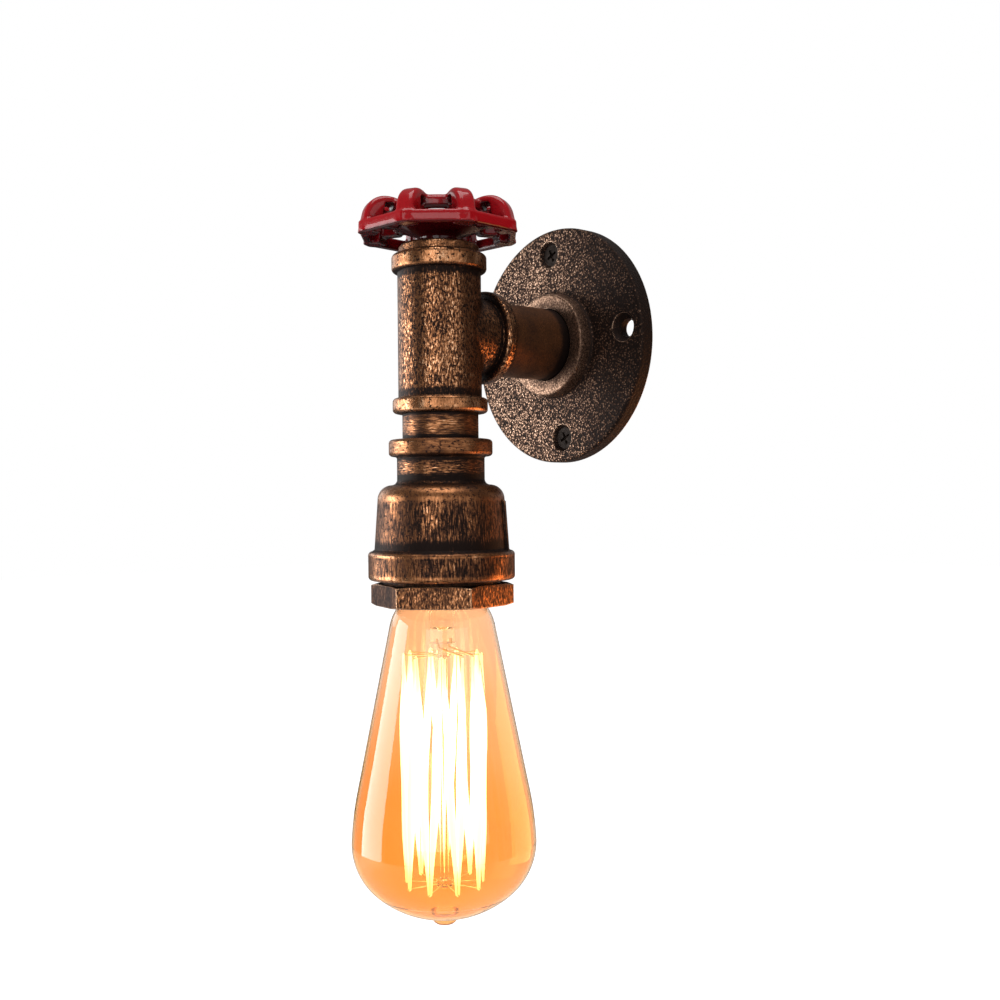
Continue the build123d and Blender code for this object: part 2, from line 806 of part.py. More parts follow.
def make_centre_contact():
    """Springy tongue riveted under the ceramic, its free end over the bulb's tip."""
    root = live_rivet_x + tongue_root
    bend = live_rivet_x - tongue_flat
    fall = tongue_thick + tongue_drop
    with BuildSketch(Plane.XZ.offset(-tongue_width / 2)) as strip:
        with BuildLine():
            Polyline(
                (root, shell_ceiling),
                (root, shell_ceiling - tongue_thick),
                (bend, shell_ceiling - tongue_thick),
                (bend - tongue_bend, shell_ceiling - fall),
                (-tongue_end, shell_ceiling - fall),
                (-tongue_end, shell_ceiling - fall + tongue_thick),
                (bend - tongue_bend + tongue_bevel, shell_ceiling - fall + tongue_thick),
                (bend + tongue_bevel, shell_ceiling),
                close=True,
            )
        make_face()
    return at_lamp * extrude(strip.sketch, tongue_width)


def make_contact_rivets():
    """One rivet joins the live post to the tongue, the other the neutral post to the shell."""
    spots = (live_rivet_x, -shell_rivet_x)
    return [at_lamp * rod(rivet_r, shell_ceiling, post_bottom, x) for x in spots]


def make_terminal_posts():
    """Brass posts in pockets of the ceramic, each with a lead hole and a screw hole."""
    posts = []
    length, depth, _ = post_size
    for x in post_spots():
        post = block(length, depth, post_bottom, post_top, x)
        post -= rod(lead_d / 2 + lead_fit, post_top - lead_in_post, post_top, x, lead_hole_y)
        post -= rod(post_screw_r + slip_fit, post_top - post_screw_length, post_top, x, post_screw_y)
        posts.append(at_lamp * post)
    return posts


def make_terminal_screws():
    """Slotted screws in the posts."""
    screws = []
    for x in post_spots():
        head_top = post_top + post_head_height
        screw = rod(post_screw_r, post_top - post_screw_length, post_top, x, post_screw_y)
        screw += rod(post_head_r, post_top, head_top, x, post_screw_y)
        screw -= block(post_head_r * 2, slot_width, head_top - slot_depth, head_top, x, post_screw_y)
        screws.append(at_lamp * screw)
    return screws


# ---------------------------------------------------------------- wiring
def make_lead(side):
    """Insulated lead from its post, up the pipes, round the tee and into the connector block."""
    x = side * lead_spacing
    block_front = lamp_axis_depth - block_from_wall - block_size[1]
    branch_end = (side * block_tube_x, block_front + block_tube_short / 2 + block_lead_depth, 0)
    points = [
        (side * post_x, lead_hole_y, post_top - lead_in_post),
        (side * post_x, lead_hole_y, post_top + lead_straight),
        (x, lead_row_y, post_top + lead_joggle),
        (x, lead_row_y, 0),
        (x, block_front - lead_gather, 0),
        (side * block_tube_x, block_front - lead_enter, 0),
        branch_end,
    ]
    path = FilletPolyline(*points, radius=list(lead_radii))
    return at_lamp * tube_along(path, lead_d / 2)


def block_centre():
    """Centre of the connector block, measured from the lamp axis toward the wall."""
    return lamp_axis_depth - block_from_wall - block_size[1] / 2


def make_connector_block():
    """Two-way connector block lying in the branch pipe."""
    width, depth, height = block_size
    body = Box(width, depth, height)
    body = fillet(body.edges().filter_by(Axis.Y), block_round)
    groove_width, groove_depth = block_groove
    body -= block(groove_width, depth, -height / 2, -height / 2 + groove_depth)
    body -= block(groove_width, depth, height / 2 - groove_depth, height / 2)
    lying = Rot(-90, 0, 0)
    for side in (1, -1):
        body -= Pos(side * block_tube_x, 0, 0) * lying * rod(block_tube_r + slip_fit, -depth / 2, depth / 2)
        for y in (block_screw_y, -block_screw_y):
            body -= rod(block_screw_r + slip_fit, 0, height / 2, side * block_tube_x, y)
    return Pos(0, block_centre() - lamp_axis_depth, 0) * body


def make_connector_tubes():
    """Brass tubes that take a lead at one end and a supply wire at the other."""
    tubes = []
    half = block_size[1] / 2 - block_tube_short / 2
    for side in (1, -1):
        tube = Rot(-90, 0, 0) * (rod(block_tube_r, -half, half) - rod(block_tube_bore_r, -half, half))
        for y in (block_screw_y, -block_screw_y):
            tube -= rod(block_screw_r + slip_fit, 0, block_tube_r, 0, y)
        tubes.append(Pos(side * block_tube_x, block_centre() - lamp_axis_depth, 0) * tube)
    return tubes


def make_connector_screws():
    """Grub screws of the connector block, two to a tube."""
    screws = []
    low = block_tube_bore_r
    high = block_size[2] / 2 - block_screw_sunk
    slot_wide, slot_deep = grub_slot
    for side in (1, -1):
        for y in (block_screw_y, -block_screw_y):
            screw = rod(block_screw_r, low, high)
            screw -= block(block_screw_r * 2, slot_wide, high - slot_deep, high)
            screws.append(Pos(side * block_tube_x, block_centre() - lamp_axis_depth + y, 0) * screw)
    return screws


# ---------------------------------------------------------------- bulb
def envelope(offset):
    """Solid inside the envelope's wall from neck to foot, its outline moved inward by an offset."""
    top = cap_bottom + glass_in_cap
    neck = (glass_neck_r - offset, cap_bottom)
    shoulder = (glass_shoulder_r - offset, cap_bottom - glass_shoulder_drop)
    swell = (glass_swell_r - offset, cap_bottom - glass_swell_drop)
    widest = (glass_r - offset, cap_bottom - glass_widest_drop)
    between = (neck[0] + glass_neck_swell, cap_bottom - glass_neck_drop)
    hip = ((swell[0] + widest[0]) / 2 + glass_hip, (swell[1] + widest[1]) / 2)
    foot = (0, cap_bottom - glass_widest_drop - glass_dome + offset)
    # the foot is part of a large sphere, joined to the side by a smaller tangent arc
    side_r = (glass_r ** 2 + glass_dome ** 2 - 2 * glass_dome * glass_foot_r) / (2 * glass_r - 2 * glass_foot_r)
    lean = math.atan2(glass_r - side_r, glass_foot_r - glass_dome)
    sphere_z = cap_bottom - glass_widest_drop - glass_dome + glass_foot_r
    reach = glass_foot_r - offset
    haunch = (reach * math.sin(lean), sphere_z - reach * math.cos(lean))
    with BuildPart() as body:
        with BuildSketch(Plane.XZ):
            with BuildLine():
                Line((0, top), (glass_neck_r - offset, top))
                Line((glass_neck_r - offset, top), neck)
                ThreePointArc(neck, between, shoulder)
                Line(shoulder, swell)
                ThreePointArc(swell, hip, widest)
                side = TangentArc(widest, haunch, tangent=(0, -1))
                TangentArc(haunch, foot, tangent=side % 1)
                Line(foot, (0, top))
            make_face()
        revolve(axis=Axis.Z)
    return body.part


def make_glass():
    """Thin envelope, open at the neck, with the sealed nub at its foot."""
    foot = cap_bottom - glass_widest_drop - glass_dome
    nub_top = foot + nub_sunk
    root = (nub_r, foot - nub_neck)
    land = (nub_land_r, foot - nub_land_drop)
    with BuildPart() as nub:
        with BuildSketch(Plane.XZ):
            with BuildLine():
                Line((0, nub_top), (nub_r + nub_flare, nub_top))
                Line((nub_r + nub_flare, nub_top), root)
                TangentArc(root, land, tangent=(-0.1, -1))
                Line(land, (0, foot - nub_height))
                Line((0, foot - nub_height), (0, nub_top))
            make_face()
        revolve(axis=Axis.Z)
    return at_lamp * (envelope(0) + nub.part - envelope(glass_wall))


def make_cap():
    """Screw cap of the bulb, closed in to the insulator at its top."""
    cap = turned(
        (cap_top_r, insulator_bottom),
        (cap_r, cap_cone_bottom),
        (cap_r, cap_bottom),
        (cap_r - cap_wall, cap_bottom),
        (cap_r - cap_wall, cap_cone_bottom),
        (cap_top_r, insulator_bottom - cap_wall - cap_cone_slip),
    )
    return at_lamp * cap


def make_insulator():
    """Glassy insulator between cap and tip."""
    body = turned(
        (0, insulator_bottom - insulator_sunk),
        (cap_top_r - slip_fit, insulator_bottom - insulator_edge),
        (cap_top_r - slip_fit, insulator_bottom),
        (insulator_r, tip_bottom),
        (0, tip_bottom),
    )
    return at_lamp * body


def make_tip():
    """Solder tip that meets the centre contact."""
    tip = rod(tip_r, tip_bottom, tip_top)
    return at_lamp * fillet(rim_edges(tip, tip_r, tip_top), tip_round)


def hook_angles(offset):
    """Directions of one ring of hooks."""
    return [offset + place * 360 / hook_count for place in range(hook_count)]


def make_hooks():
    """Support wires: a ring of them at the top button and another at the bottom one."""
    wires = []
    for level, angles in ((cage_top, hook_angles(0)[1:]), (cage_bottom, hook_angles(180 / hook_count))):
        for angle in angles:
            wire = Rot(0, 90, 0) * rod(hook_r, rod_r + hook_in, cage_r + hook_out)
            wires.append(at_lamp * Pos(0, 0, level) * Rot(0, 0, angle) * wire)
    return wires


def make_lead_ins():
    """Stiff wires from the stem tube out to the two ends of the filament."""
    wires = []
    tube_bottom = cap_bottom - stem_tube_drop
    for side in (1, -1):
        radius, angle, height = lead_in_start
        start = ring_point(radius, side * angle, tube_bottom + height)
        radius, angle, height = lead_in_middle
        middle = ring_point(radius, side * angle, tube_bottom + height)
        end = ring_point(cage_r, side * lead_in_half_angle, cage_top + lead_in_rise)
        path = FilletPolyline(start, middle, end, radius=lead_in_bend)
        wires.append(at_lamp * tube_along(path, lead_in_r))
    return wires


def make_filament():
    """Squirrel-cage filament: one wire zigzagging between the two rings of hooks."""
    turn = math.degrees(hook_gap / cage_r)
    step = 360 / hook_count
    points = [ring_point(cage_r, lead_in_half_angle, cage_top + filament_rise)]
    for place in range(hook_count):
        low_angle = (place + 0.5) * step
        points.append(ring_point(cage_r, low_angle - turn, cage_bottom - hook_gap))
        points.append(ring_point(cage_r, low_angle + turn, cage_bottom - hook_gap))
        if place < hook_count - 1:
            high_angle = (place + 1) * step
            points.append(ring_point(cage_r, high_angle - turn, cage_top + hook_gap))
            points.append(ring_point(cage_r, high_angle + turn, cage_top + hook_gap))
    points.append(ring_point(cage_r, -lead_in_half_angle, cage_top + filament_rise))
    path = FilletPolyline(*points, radius=hook_bend)
    return at_lamp * tube_along(path, filament_r)


def make_bulb_stem(held):
    """Glass flare, tube, rod and two buttons; it is moulded round the wires it holds."""
    tube_bottom = cap_bottom - stem_tube_drop
    stem = turned(
        (0, tube_bottom),
        (stem_tube_r, tube_bottom),
        (stem_tube_r, cap_bottom - flare_root),
        (flare_r, cap_bottom + flare_rise),
        (flare_r, cap_bottom + flare_rise + flare_edge),
        (stem_tube_r, cap_bottom - flare_root_in),
        (stem_tube_r - stem_tube_wall, cap_bottom - stem_tube_bore_drop),
        (stem_tube_r - stem_tube_wall, tube_bottom + stem_pinch),
        (0, tube_bottom + stem_pinch - stem_pinch_dip),
    )
    stem += rod(rod_r, cage_bottom - button_height / 2, tube_bottom)
    for level in (cage_top, cage_bottom):
        button = rod(button_r, level - button_height / 2, level + button_height / 2)
        stem += fillet(button.edges().filter_by(GeomType.CIRCLE), button_round)
    stem = at_lamp * stem
    for wire in held:
        stem -= wire
    return stem


# ---------------------------------------------------------------- write the pieces
def save(name, *solids):
    """Write one node; alike pieces share it as separate solids."""
    shape = solids[0] if len(solids) == 1 else Compound(list(solids))
    export_step(shape, f"parts/{name}.step")


def main():
    save("wall_flange", make_flange())
    save("wall_screws", *make_wall_screws())
    save("branch_nipple", make_branch_nipple())
    save("tee", make_tee())
    save("bonnet_plug", make_bonnet_plug())
    save("valve_stem", make_valve_stem())
    save("handwheel", make_handwheel())
    save("wheel_washer", make_wheel_washer())
    save("wheel_nut", make_wheel_nut())
    save("lower_nipple", make_lower_nipple())
    save("reducer", make_reducer())
    save("hex_bushing", make_hex_bushing())
    save("lampholder", make_lampholder())
    save("socket_shell", make_socket_shell())
    save("centre_contact", make_centre_contact())
    save("contact_rivets", *make_contact_rivets())
    save("terminal_posts", *make_terminal_posts())
    save("terminal_screws", *make_terminal_screws())
    save("lead_live", make_lead(1))
    save("lead_neutral", make_lead(-1))
    save("connector_block", make_connector_block())
    save("connector_tubes", *make_connector_tubes())
    save("connector_screws", *make_connector_screws())
    save("bulb_glass", make_glass())
    save("bulb_cap", make_cap())
    save("bulb_insulator", make_insulator())
    save("bulb_tip", make_tip())
    hooks = make_hooks()
    lead_ins = make_lead_ins()
    save("bulb_stem", make_bulb_stem(hooks + lead_ins))
    save("filament_hooks", *hooks)
    save("lead_in_wires", *lead_ins)
    save("filament", make_filament())


main()
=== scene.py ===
import logging
import math
from dataclasses import dataclass
from enum import Enum
from typing import Optional, Sequence

import bpy
from mathutils import Matrix, Vector


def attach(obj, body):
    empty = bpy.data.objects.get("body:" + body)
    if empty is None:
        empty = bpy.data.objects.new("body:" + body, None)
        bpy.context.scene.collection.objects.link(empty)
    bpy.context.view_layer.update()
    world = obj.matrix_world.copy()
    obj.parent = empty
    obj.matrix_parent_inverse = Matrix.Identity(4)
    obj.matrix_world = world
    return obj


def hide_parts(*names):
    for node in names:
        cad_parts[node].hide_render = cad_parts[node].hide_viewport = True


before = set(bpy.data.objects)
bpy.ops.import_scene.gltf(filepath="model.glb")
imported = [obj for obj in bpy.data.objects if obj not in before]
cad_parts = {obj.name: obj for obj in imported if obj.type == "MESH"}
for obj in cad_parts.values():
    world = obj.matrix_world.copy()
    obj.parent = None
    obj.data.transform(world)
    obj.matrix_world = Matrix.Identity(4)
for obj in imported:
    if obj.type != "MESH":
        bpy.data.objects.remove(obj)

log = logging.getLogger("pipe_wall_light")

Socket = bpy.types.NodeSocket
Colour = tuple[float, float, float]
Palette = tuple[tuple[float, Colour], ...]
Point = tuple[float, float, float]
Span = tuple[float, float]

MM = 0.001
LAMP_DEPTH = 0.061  # wall to the lamp's axis, metres


class Direction(Enum):
    """Axis of the lamp's own frame, by its place in a vector."""

    SIDE = 0
    OUT = 1
    UP = 2


class Stroke(Enum):
    """How the rubbed-back marks of a finish run, as feature sizes in mm along x, y and z."""

    SPECKLED = (0.55, 0.55, 0.7)
    UPRIGHT = (0.5, 0.5, 3.4)
    ROUND = (3.2, 3.2, 0.42)
    FLECKED = (0.5, 0.5, 1.5)


# ------------------------------------------------------------------------------ shader layout
class ShaderSheet:
    """One material being laid out, with the node work that all finishes share."""

    SHIFT_SHARES: Point = (1.0, 1.7, 0.6)  # how the shift of a pattern is shared out over x, y and z
    PEBBLE_SOFTNESS = 0.6
    PROBES = 6  # rays for each look at the neighbourhood
    EDGE_COSINES: Span = (0.995, 0.86)  # of the rounding, where an edge starts and where it is full

    def __init__(self, name: str) -> None:
        """Open an empty sheet with a principled shader wired to the output.

        Args:
            name: name of the new material.
        """
        self.material = bpy.data.materials.new(name)
        self.material.use_nodes = True
        self.nodes = self.material.node_tree.nodes
        self.links = self.material.node_tree.links
        self.nodes.clear()
        self.output = self.nodes.new("ShaderNodeOutputMaterial")
        self.shader = self.nodes.new("ShaderNodeBsdfPrincipled")
        self.links.new(self.shader.outputs[0], self.output.inputs[0])
        coords = self.nodes.new("ShaderNodeTexCoord")
        self.place = self.vector("SCALE", coords.outputs["Object"], scale=1 / MM)

    def put(self, value: object, socket: Socket) -> None:
        """Feed a socket from another socket or with a constant.

        Args:
            value: a socket to link, or the constant to set.
            socket: input that takes it.
        """
        if isinstance(value, bpy.types.NodeSocket):
            self.links.new(value, socket)
        else:
            socket.default_value = value

    def feed(self, name: str, value: object) -> None:
        """Feed one of the shader's inputs.

        Args:
            name: the input's name.
            value: a socket to link, or the constant to set.
        """
        self.put(value, self.shader.inputs[name])

    def vector(self, operation: str, first: object, second: object = None, scale: float = 1.0) -> Socket:
        """Vector arithmetic.

        Args:
            operation: Blender's name of the operation.
            first: first operand.
            second: second operand, where there is one.
            scale: factor of the SCALE operation.

        Returns:
            The result, a number for DOT_PRODUCT and a vector otherwise.
        """
        node = self.nodes.new("ShaderNodeVectorMath")
        node.operation = operation
        self.put(first, node.inputs[0])
        if second is not None:
            self.put(second, node.inputs[1])
        if operation == "SCALE":
            node.inputs["Scale"].default_value = scale
        return node.outputs["Value"] if operation == "DOT_PRODUCT" else node.outputs["Vector"]

    def number(self, operation: str, first: object, second: object = 0.0, clamp: bool = False) -> Socket:
        """Arithmetic on numbers.

        Args:
            operation: Blender's name of the operation.
            first: first operand.
            second: second operand.
            clamp: whether the result is kept between 0 and 1.

        Returns:
            The result.
        """
        node = self.nodes.new("ShaderNodeMath")
        node.operation = operation
        node.use_clamp = clamp
        self.put(first, node.inputs[0])
        self.put(second, node.inputs[1])
        return node.outputs[0]

    def add_share(self, base: object, part: object, share: object) -> Socket:
        """Add a share of one number to another.

        Args:
            base: number that is added to.
            part: number of which a share is added.
            share: how much of it.

        Returns:
            base + part * share.
        """
        return self.number("ADD", base, self.number("MULTIPLY", part, share))

    def centred(self, noise: Socket) -> Socket:
        """Noise moved from about 0.5 to about 0."""
        return self.number("SUBTRACT", noise, 0.5)

    def spread(self, value: Socket, low: float, high: float, start: float = 0.0, end: float = 1.0) -> Socket:
        """Smoothly map a range of values onto another.

        Args:
            value: number to map.
            low: value that gives start.
            high: value that gives end.
            start: result at and below low.
            end: result at and above high.

        Returns:
            The mapped number.
        """
        node = self.nodes.new("ShaderNodeMapRange")
        node.interpolation_type = "SMOOTHSTEP"
        self.put(value, node.inputs["Value"])
        for name, number in (("From Min", low), ("From Max", high), ("To Min", start), ("To Max", end)):
            node.inputs[name].default_value = number
        return node.outputs["Result"]

    def grain(self, size: Point, detail: float = 4.0, harsh: float = 0.6, shift: float = 0.0) -> Socket:
        """Noise whose features have the given size.

        Args:
            size: feature size in mm along x, y and z.
            detail: octaves of finer noise.
            harsh: how strongly the finer octaves count.
            shift: moves the pattern, so that two uses differ.

        Returns:
            A number about 0.5 on average.
        """
        moved = self.vector("ADD", self.place, tuple(shift * share for share in self.SHIFT_SHARES))
        scaled = self.vector("MULTIPLY", moved, tuple(1 / length for length in size))
        node = self.nodes.new("ShaderNodeTexNoise")
        self.put(scaled, node.inputs["Vector"])
        node.inputs["Scale"].default_value = 1.0
        node.inputs["Detail"].default_value = detail
        node.inputs["Roughness"].default_value = harsh
        return node.outputs[0]

    def pebbles(self, size: float) -> Socket:
        """Rounded cells like the skin of a sand casting, 0 at a cell's middle.

        Args:
            size: distance between cells in mm.

        Returns:
            Distance from the nearest cell's middle.
        """
        node = self.nodes.new("ShaderNodeTexVoronoi")
        node.feature = "SMOOTH_F1"
        self.put(self.vector("SCALE", self.place, scale=1 / size), node.inputs["Vector"])
        node.inputs["Scale"].default_value = 1.0
        node.inputs["Smoothness"].default_value = self.PEBBLE_SOFTNESS
        return node.outputs["Distance"]

    def along(self, direction: Direction) -> Socket:
        """Place along an axis.

        Args:
            direction: the axis.

        Returns:
            The place in mm.
        """
        node = self.nodes.new("ShaderNodeSeparateXYZ")
        self.put(self.place, node.inputs[0])
        return node.outputs[direction.value]

    def band(self, direction: Direction, low: float, high: float, fade: float) -> Socket:
        """Mask that is 1 between two places along an axis.

        Args:
            direction: axis of the band.
            low: where it starts, mm.
            high: where it ends, mm.
            fade: width of its soft borders, mm.

        Returns:
            A number from 0 to 1.
        """
        value = self.along(direction)
        rise = self.spread(value, low - fade / 2, low + fade / 2)
        fall = self.spread(value, high - fade / 2, high + fade / 2, 1.0, 0.0)
        return self.number("MULTIPLY", rise, fall)

    def rubbed_edges(self, radius: float) -> tuple[Socket, Socket]:
        """Mask of the outer and inner edges of a piece.

        Args:
            radius: width of the edge in mm.

        Returns:
            A number that is 0 on open faces and rises toward an edge, and the direction of the
            rounded surface.
        """
        bevel = self.nodes.new("ShaderNodeBevel")
        bevel.samples = self.PROBES
        bevel.inputs["Radius"].default_value = radius * MM
        plain = self.nodes.new("ShaderNodeNewGeometry")
        same = self.vector("DOT_PRODUCT", bevel.outputs[0], plain.outputs["Normal"])
        return self.spread(same, *self.EDGE_COSINES), bevel.outputs[0]

    def nooks(self, reach: float) -> Socket:
        """Mask of the places that lie open, low in corners and gaps.

        Args:
            reach: how far the corner's neighbours are looked for, mm.

        Returns:
            1 in the open and toward 0 in a nook.
        """
        node = self.nodes.new("ShaderNodeAmbientOcclusion")
        node.samples = self.PROBES
        node.inputs["Distance"].default_value = reach * MM
        return node.outputs["AO"]

    def tones(self, value: Socket, stops: Sequence[tuple[float, Colour]]) -> Socket:
        """Colours along a scale.

        Args:
            value: place on the scale.
            stops: place and colour of each stop.

        Returns:
            The colour.
        """
        node = self.nodes.new("ShaderNodeValToRGB")
        elements = node.color_ramp.elements
        while len(elements) < len(stops):
            elements.new(0.5)
        for element, (place, colour) in zip(elements, stops):
            element.position = place
            element.color = (*colour, 1.0)
        self.put(value, node.inputs[0])
        return node.outputs[0]

    def blend(self, share: Socket, first: object, second: object) -> Socket:
        """Number that goes from one value to another.

        Args:
            share: 0 gives first and 1 gives second.
            first: first value.
            second: second value.

        Returns:
            The value between them.
        """
        node = self.nodes.new("ShaderNodeMix")
        node.data_type = "FLOAT"
        self.put(share, node.inputs[0])
        self.put(first, node.inputs[2])
        self.put(second, node.inputs[3])
        return node.outputs[0]

    def relief(self, height: Socket, depth: float, strength: float, normal: Optional[Socket] = None) -> None:
        """Give the shader a bumpy surface.

        Args:
            height: relief from 0 to 1.
            depth: its full height in mm.
            strength: how much of it shows.
            normal: direction of the surface under the bumps, the mesh's own if left out.
        """
        node = self.nodes.new("ShaderNodeBump")
        node.inputs["Strength"].default_value = strength
        node.inputs["Distance"].default_value = depth * MM
        self.put(height, node.inputs["Height"])
        if normal is not None:
            self.put(normal, node.inputs["Normal"])
        self.links.new(node.outputs[0], self.shader.inputs["Normal"])


# ------------------------------------------------------------------------------ finishes
@dataclass(frozen=True)
class Zone:
    """Stretch of a piece, in mm, that is lighter or darker than the rest: rubbed more, left darker, or given
    a painted highlight or painted shade.
    """

    direction: Direction
    low: float
    high: float
    lift: float
    fade: float = 1.0
    calm: float = 0.0  # share of the marks that is rubbed away there


COPPERY: Palette = (
    (0.0, (0.009, 0.005, 0.004)),
    (0.28, (0.042, 0.017, 0.009)),
    (0.5, (0.14, 0.055, 0.022)),
    (0.75, (0.35, 0.15, 0.064)),
    (1.0, (0.68, 0.42, 0.25)),
)
DUSTY: Palette = (
    (0.0, (0.012, 0.007, 0.0055)),
    (0.28, (0.05, 0.024, 0.014)),
    (0.5, (0.16, 0.094, 0.062)),
    (0.75, (0.42, 0.265, 0.18)),
    (1.0, (0.74, 0.53, 0.39)),
)


@dataclass(frozen=True)
class Bronze:
    """Antique bronze: dark patina rubbed back to copper, in strokes, most on edges and least in nooks."""

    name: str
    stroke: Stroke = Stroke.FLECKED
    level: float = 0.52  # how far the open faces are rubbed back
    contrast: float = 2.2
    cloud: float = 0.6
    cloud_size: Point = (7.0, 7.0, 9.0)
    edge_lift: float = 0.35
    edge_width: float = 0.6
    nook_drop: float = 0.9
    nook_reach: float = 4.0
    zones: tuple[Zone, ...] = ()
    brushed: Optional[Span] = None  # levels between which the strokes run round
    brushed_fade: float = 1.5
    pebble_depth: float = 0.0
    pebble_size: float = 0.78
    pebble_top: float = 0.62
    pebble_reach: Span = (-5.9, 1.0)
    pebble_fade: float = 0.6
    pebble_share: float = 1.3  # how much more the tops of the pebbles are rubbed
    stroke_relief: float = 0.35  # height of the strokes beside that of the pebbles
    relief_depth: float = 0.05
    relief_strength: float = 0.8
    specks: float = 0.0
    speck_size: Point = (1.3, 1.3, 1.0)
    speck_range: Span = (0.54, 0.62)
    sheen: Span = (0.1, 0.4)  # patina, then copper; so are the next two
    roughness: Span = (0.55, 0.22)
    metallic: Span = (0.6, 0.95)
    palette: Palette = COPPERY

    def strokes(self, sheet: ShaderSheet) -> Socket:
        """Rubbed-back marks.

        Args:
            sheet: material being laid out.

        Returns:
            Noise about 0.5.
        """
        marks = sheet.grain(self.stroke.value, detail=5.0, harsh=0.68)
        if self.brushed is None:
            return marks
        round_marks = sheet.grain(Stroke.ROUND.value, detail=5.0, harsh=0.7, shift=7.0)
        return sheet.blend(sheet.band(Direction.UP, *self.brushed, self.brushed_fade), marks, round_marks)

    def open_faces(self, sheet: ShaderSheet, marks: Socket, masks: Sequence[Socket]) -> Socket:
        """How far the faces are rubbed back by strokes and clouds alone.

        Args:
            sheet: material being laid out.
            marks: the strokes.
            masks: where each zone lies.

        Returns:
            A number that is 0 for patina and 1 for bare copper.
        """
        contrast: object = self.contrast
        for zone, mask in zip(self.zones, masks):
            if zone.calm:
                kept = sheet.spread(mask, 0.0, 1.0, 1.0, 1.0 - zone.calm)
                contrast = sheet.number("MULTIPLY", contrast, kept)
        clouds = sheet.grain(self.cloud_size, detail=2.0, harsh=0.5, shift=31.0)
        worn = sheet.number("MULTIPLY", sheet.centred(marks), contrast)
        worn = sheet.add_share(worn, sheet.centred(clouds), self.cloud)
        return sheet.number("ADD", worn, self.level)

    def pebble_peaks(self, sheet: ShaderSheet) -> Socket:
        """Height of the cast skin's pebbles, where the piece has them.

        Args:
            sheet: material being laid out.

        Returns:
            A number up to pebble_top.
        """
        peaks = sheet.number("SUBTRACT", self.pebble_top, sheet.pebbles(self.pebble_size))
        cast_skin = sheet.band(Direction.OUT, *self.pebble_reach, self.pebble_fade)
        return sheet.number("MULTIPLY", peaks, cast_skin)

    def material(self) -> bpy.types.Material:
        """Lay out the finish.

        Returns:
            The material.
        """
        sheet = ShaderSheet(self.name)
        marks = self.strokes(sheet)
        masks = [sheet.band(zone.direction, zone.low, zone.high, zone.fade) for zone in self.zones]
        worn = self.open_faces(sheet, marks, masks)
        height, depth = marks, self.relief_depth
        if self.pebble_depth:
            peaks = self.pebble_peaks(sheet)
            worn = sheet.add_share(worn, peaks, self.pebble_share)
            height = sheet.number("ADD", sheet.number("MULTIPLY", marks, self.stroke_relief), peaks)
            depth = self.pebble_depth
        for zone, mask in zip(self.zones, masks):
            worn = sheet.add_share(worn, mask, zone.lift)
        if self.specks:
            pits = sheet.grain(self.speck_size, detail=4.0, harsh=0.72, shift=43.0)
            worn = sheet.number("SUBTRACT", worn, sheet.spread(pits, *self.speck_range, 0.0, self.specks))
        edges, soft_normal = sheet.rubbed_edges(self.edge_width)
        worn = sheet.add_share(worn, edges, self.edge_lift)
        hidden = sheet.number("SUBTRACT", 1.0, sheet.nooks(self.nook_reach))
        worn = sheet.number("SUBTRACT", worn, sheet.number("MULTIPLY", hidden, self.nook_drop), clamp=True)
        sheet.feed("Base Color", sheet.tones(worn, self.palette))
        sheet.feed("Specular IOR Level", sheet.spread(worn, 0.05, 0.45, *self.sheen))
        sheet.feed("Roughness", sheet.spread(worn, 0.1, 0.9, *self.roughness))
        sheet.feed("Metallic", sheet.spread(worn, 0.0, 0.6, *self.metallic))
        sheet.relief(height, depth, self.relief_strength, soft_normal)
        return sheet.material


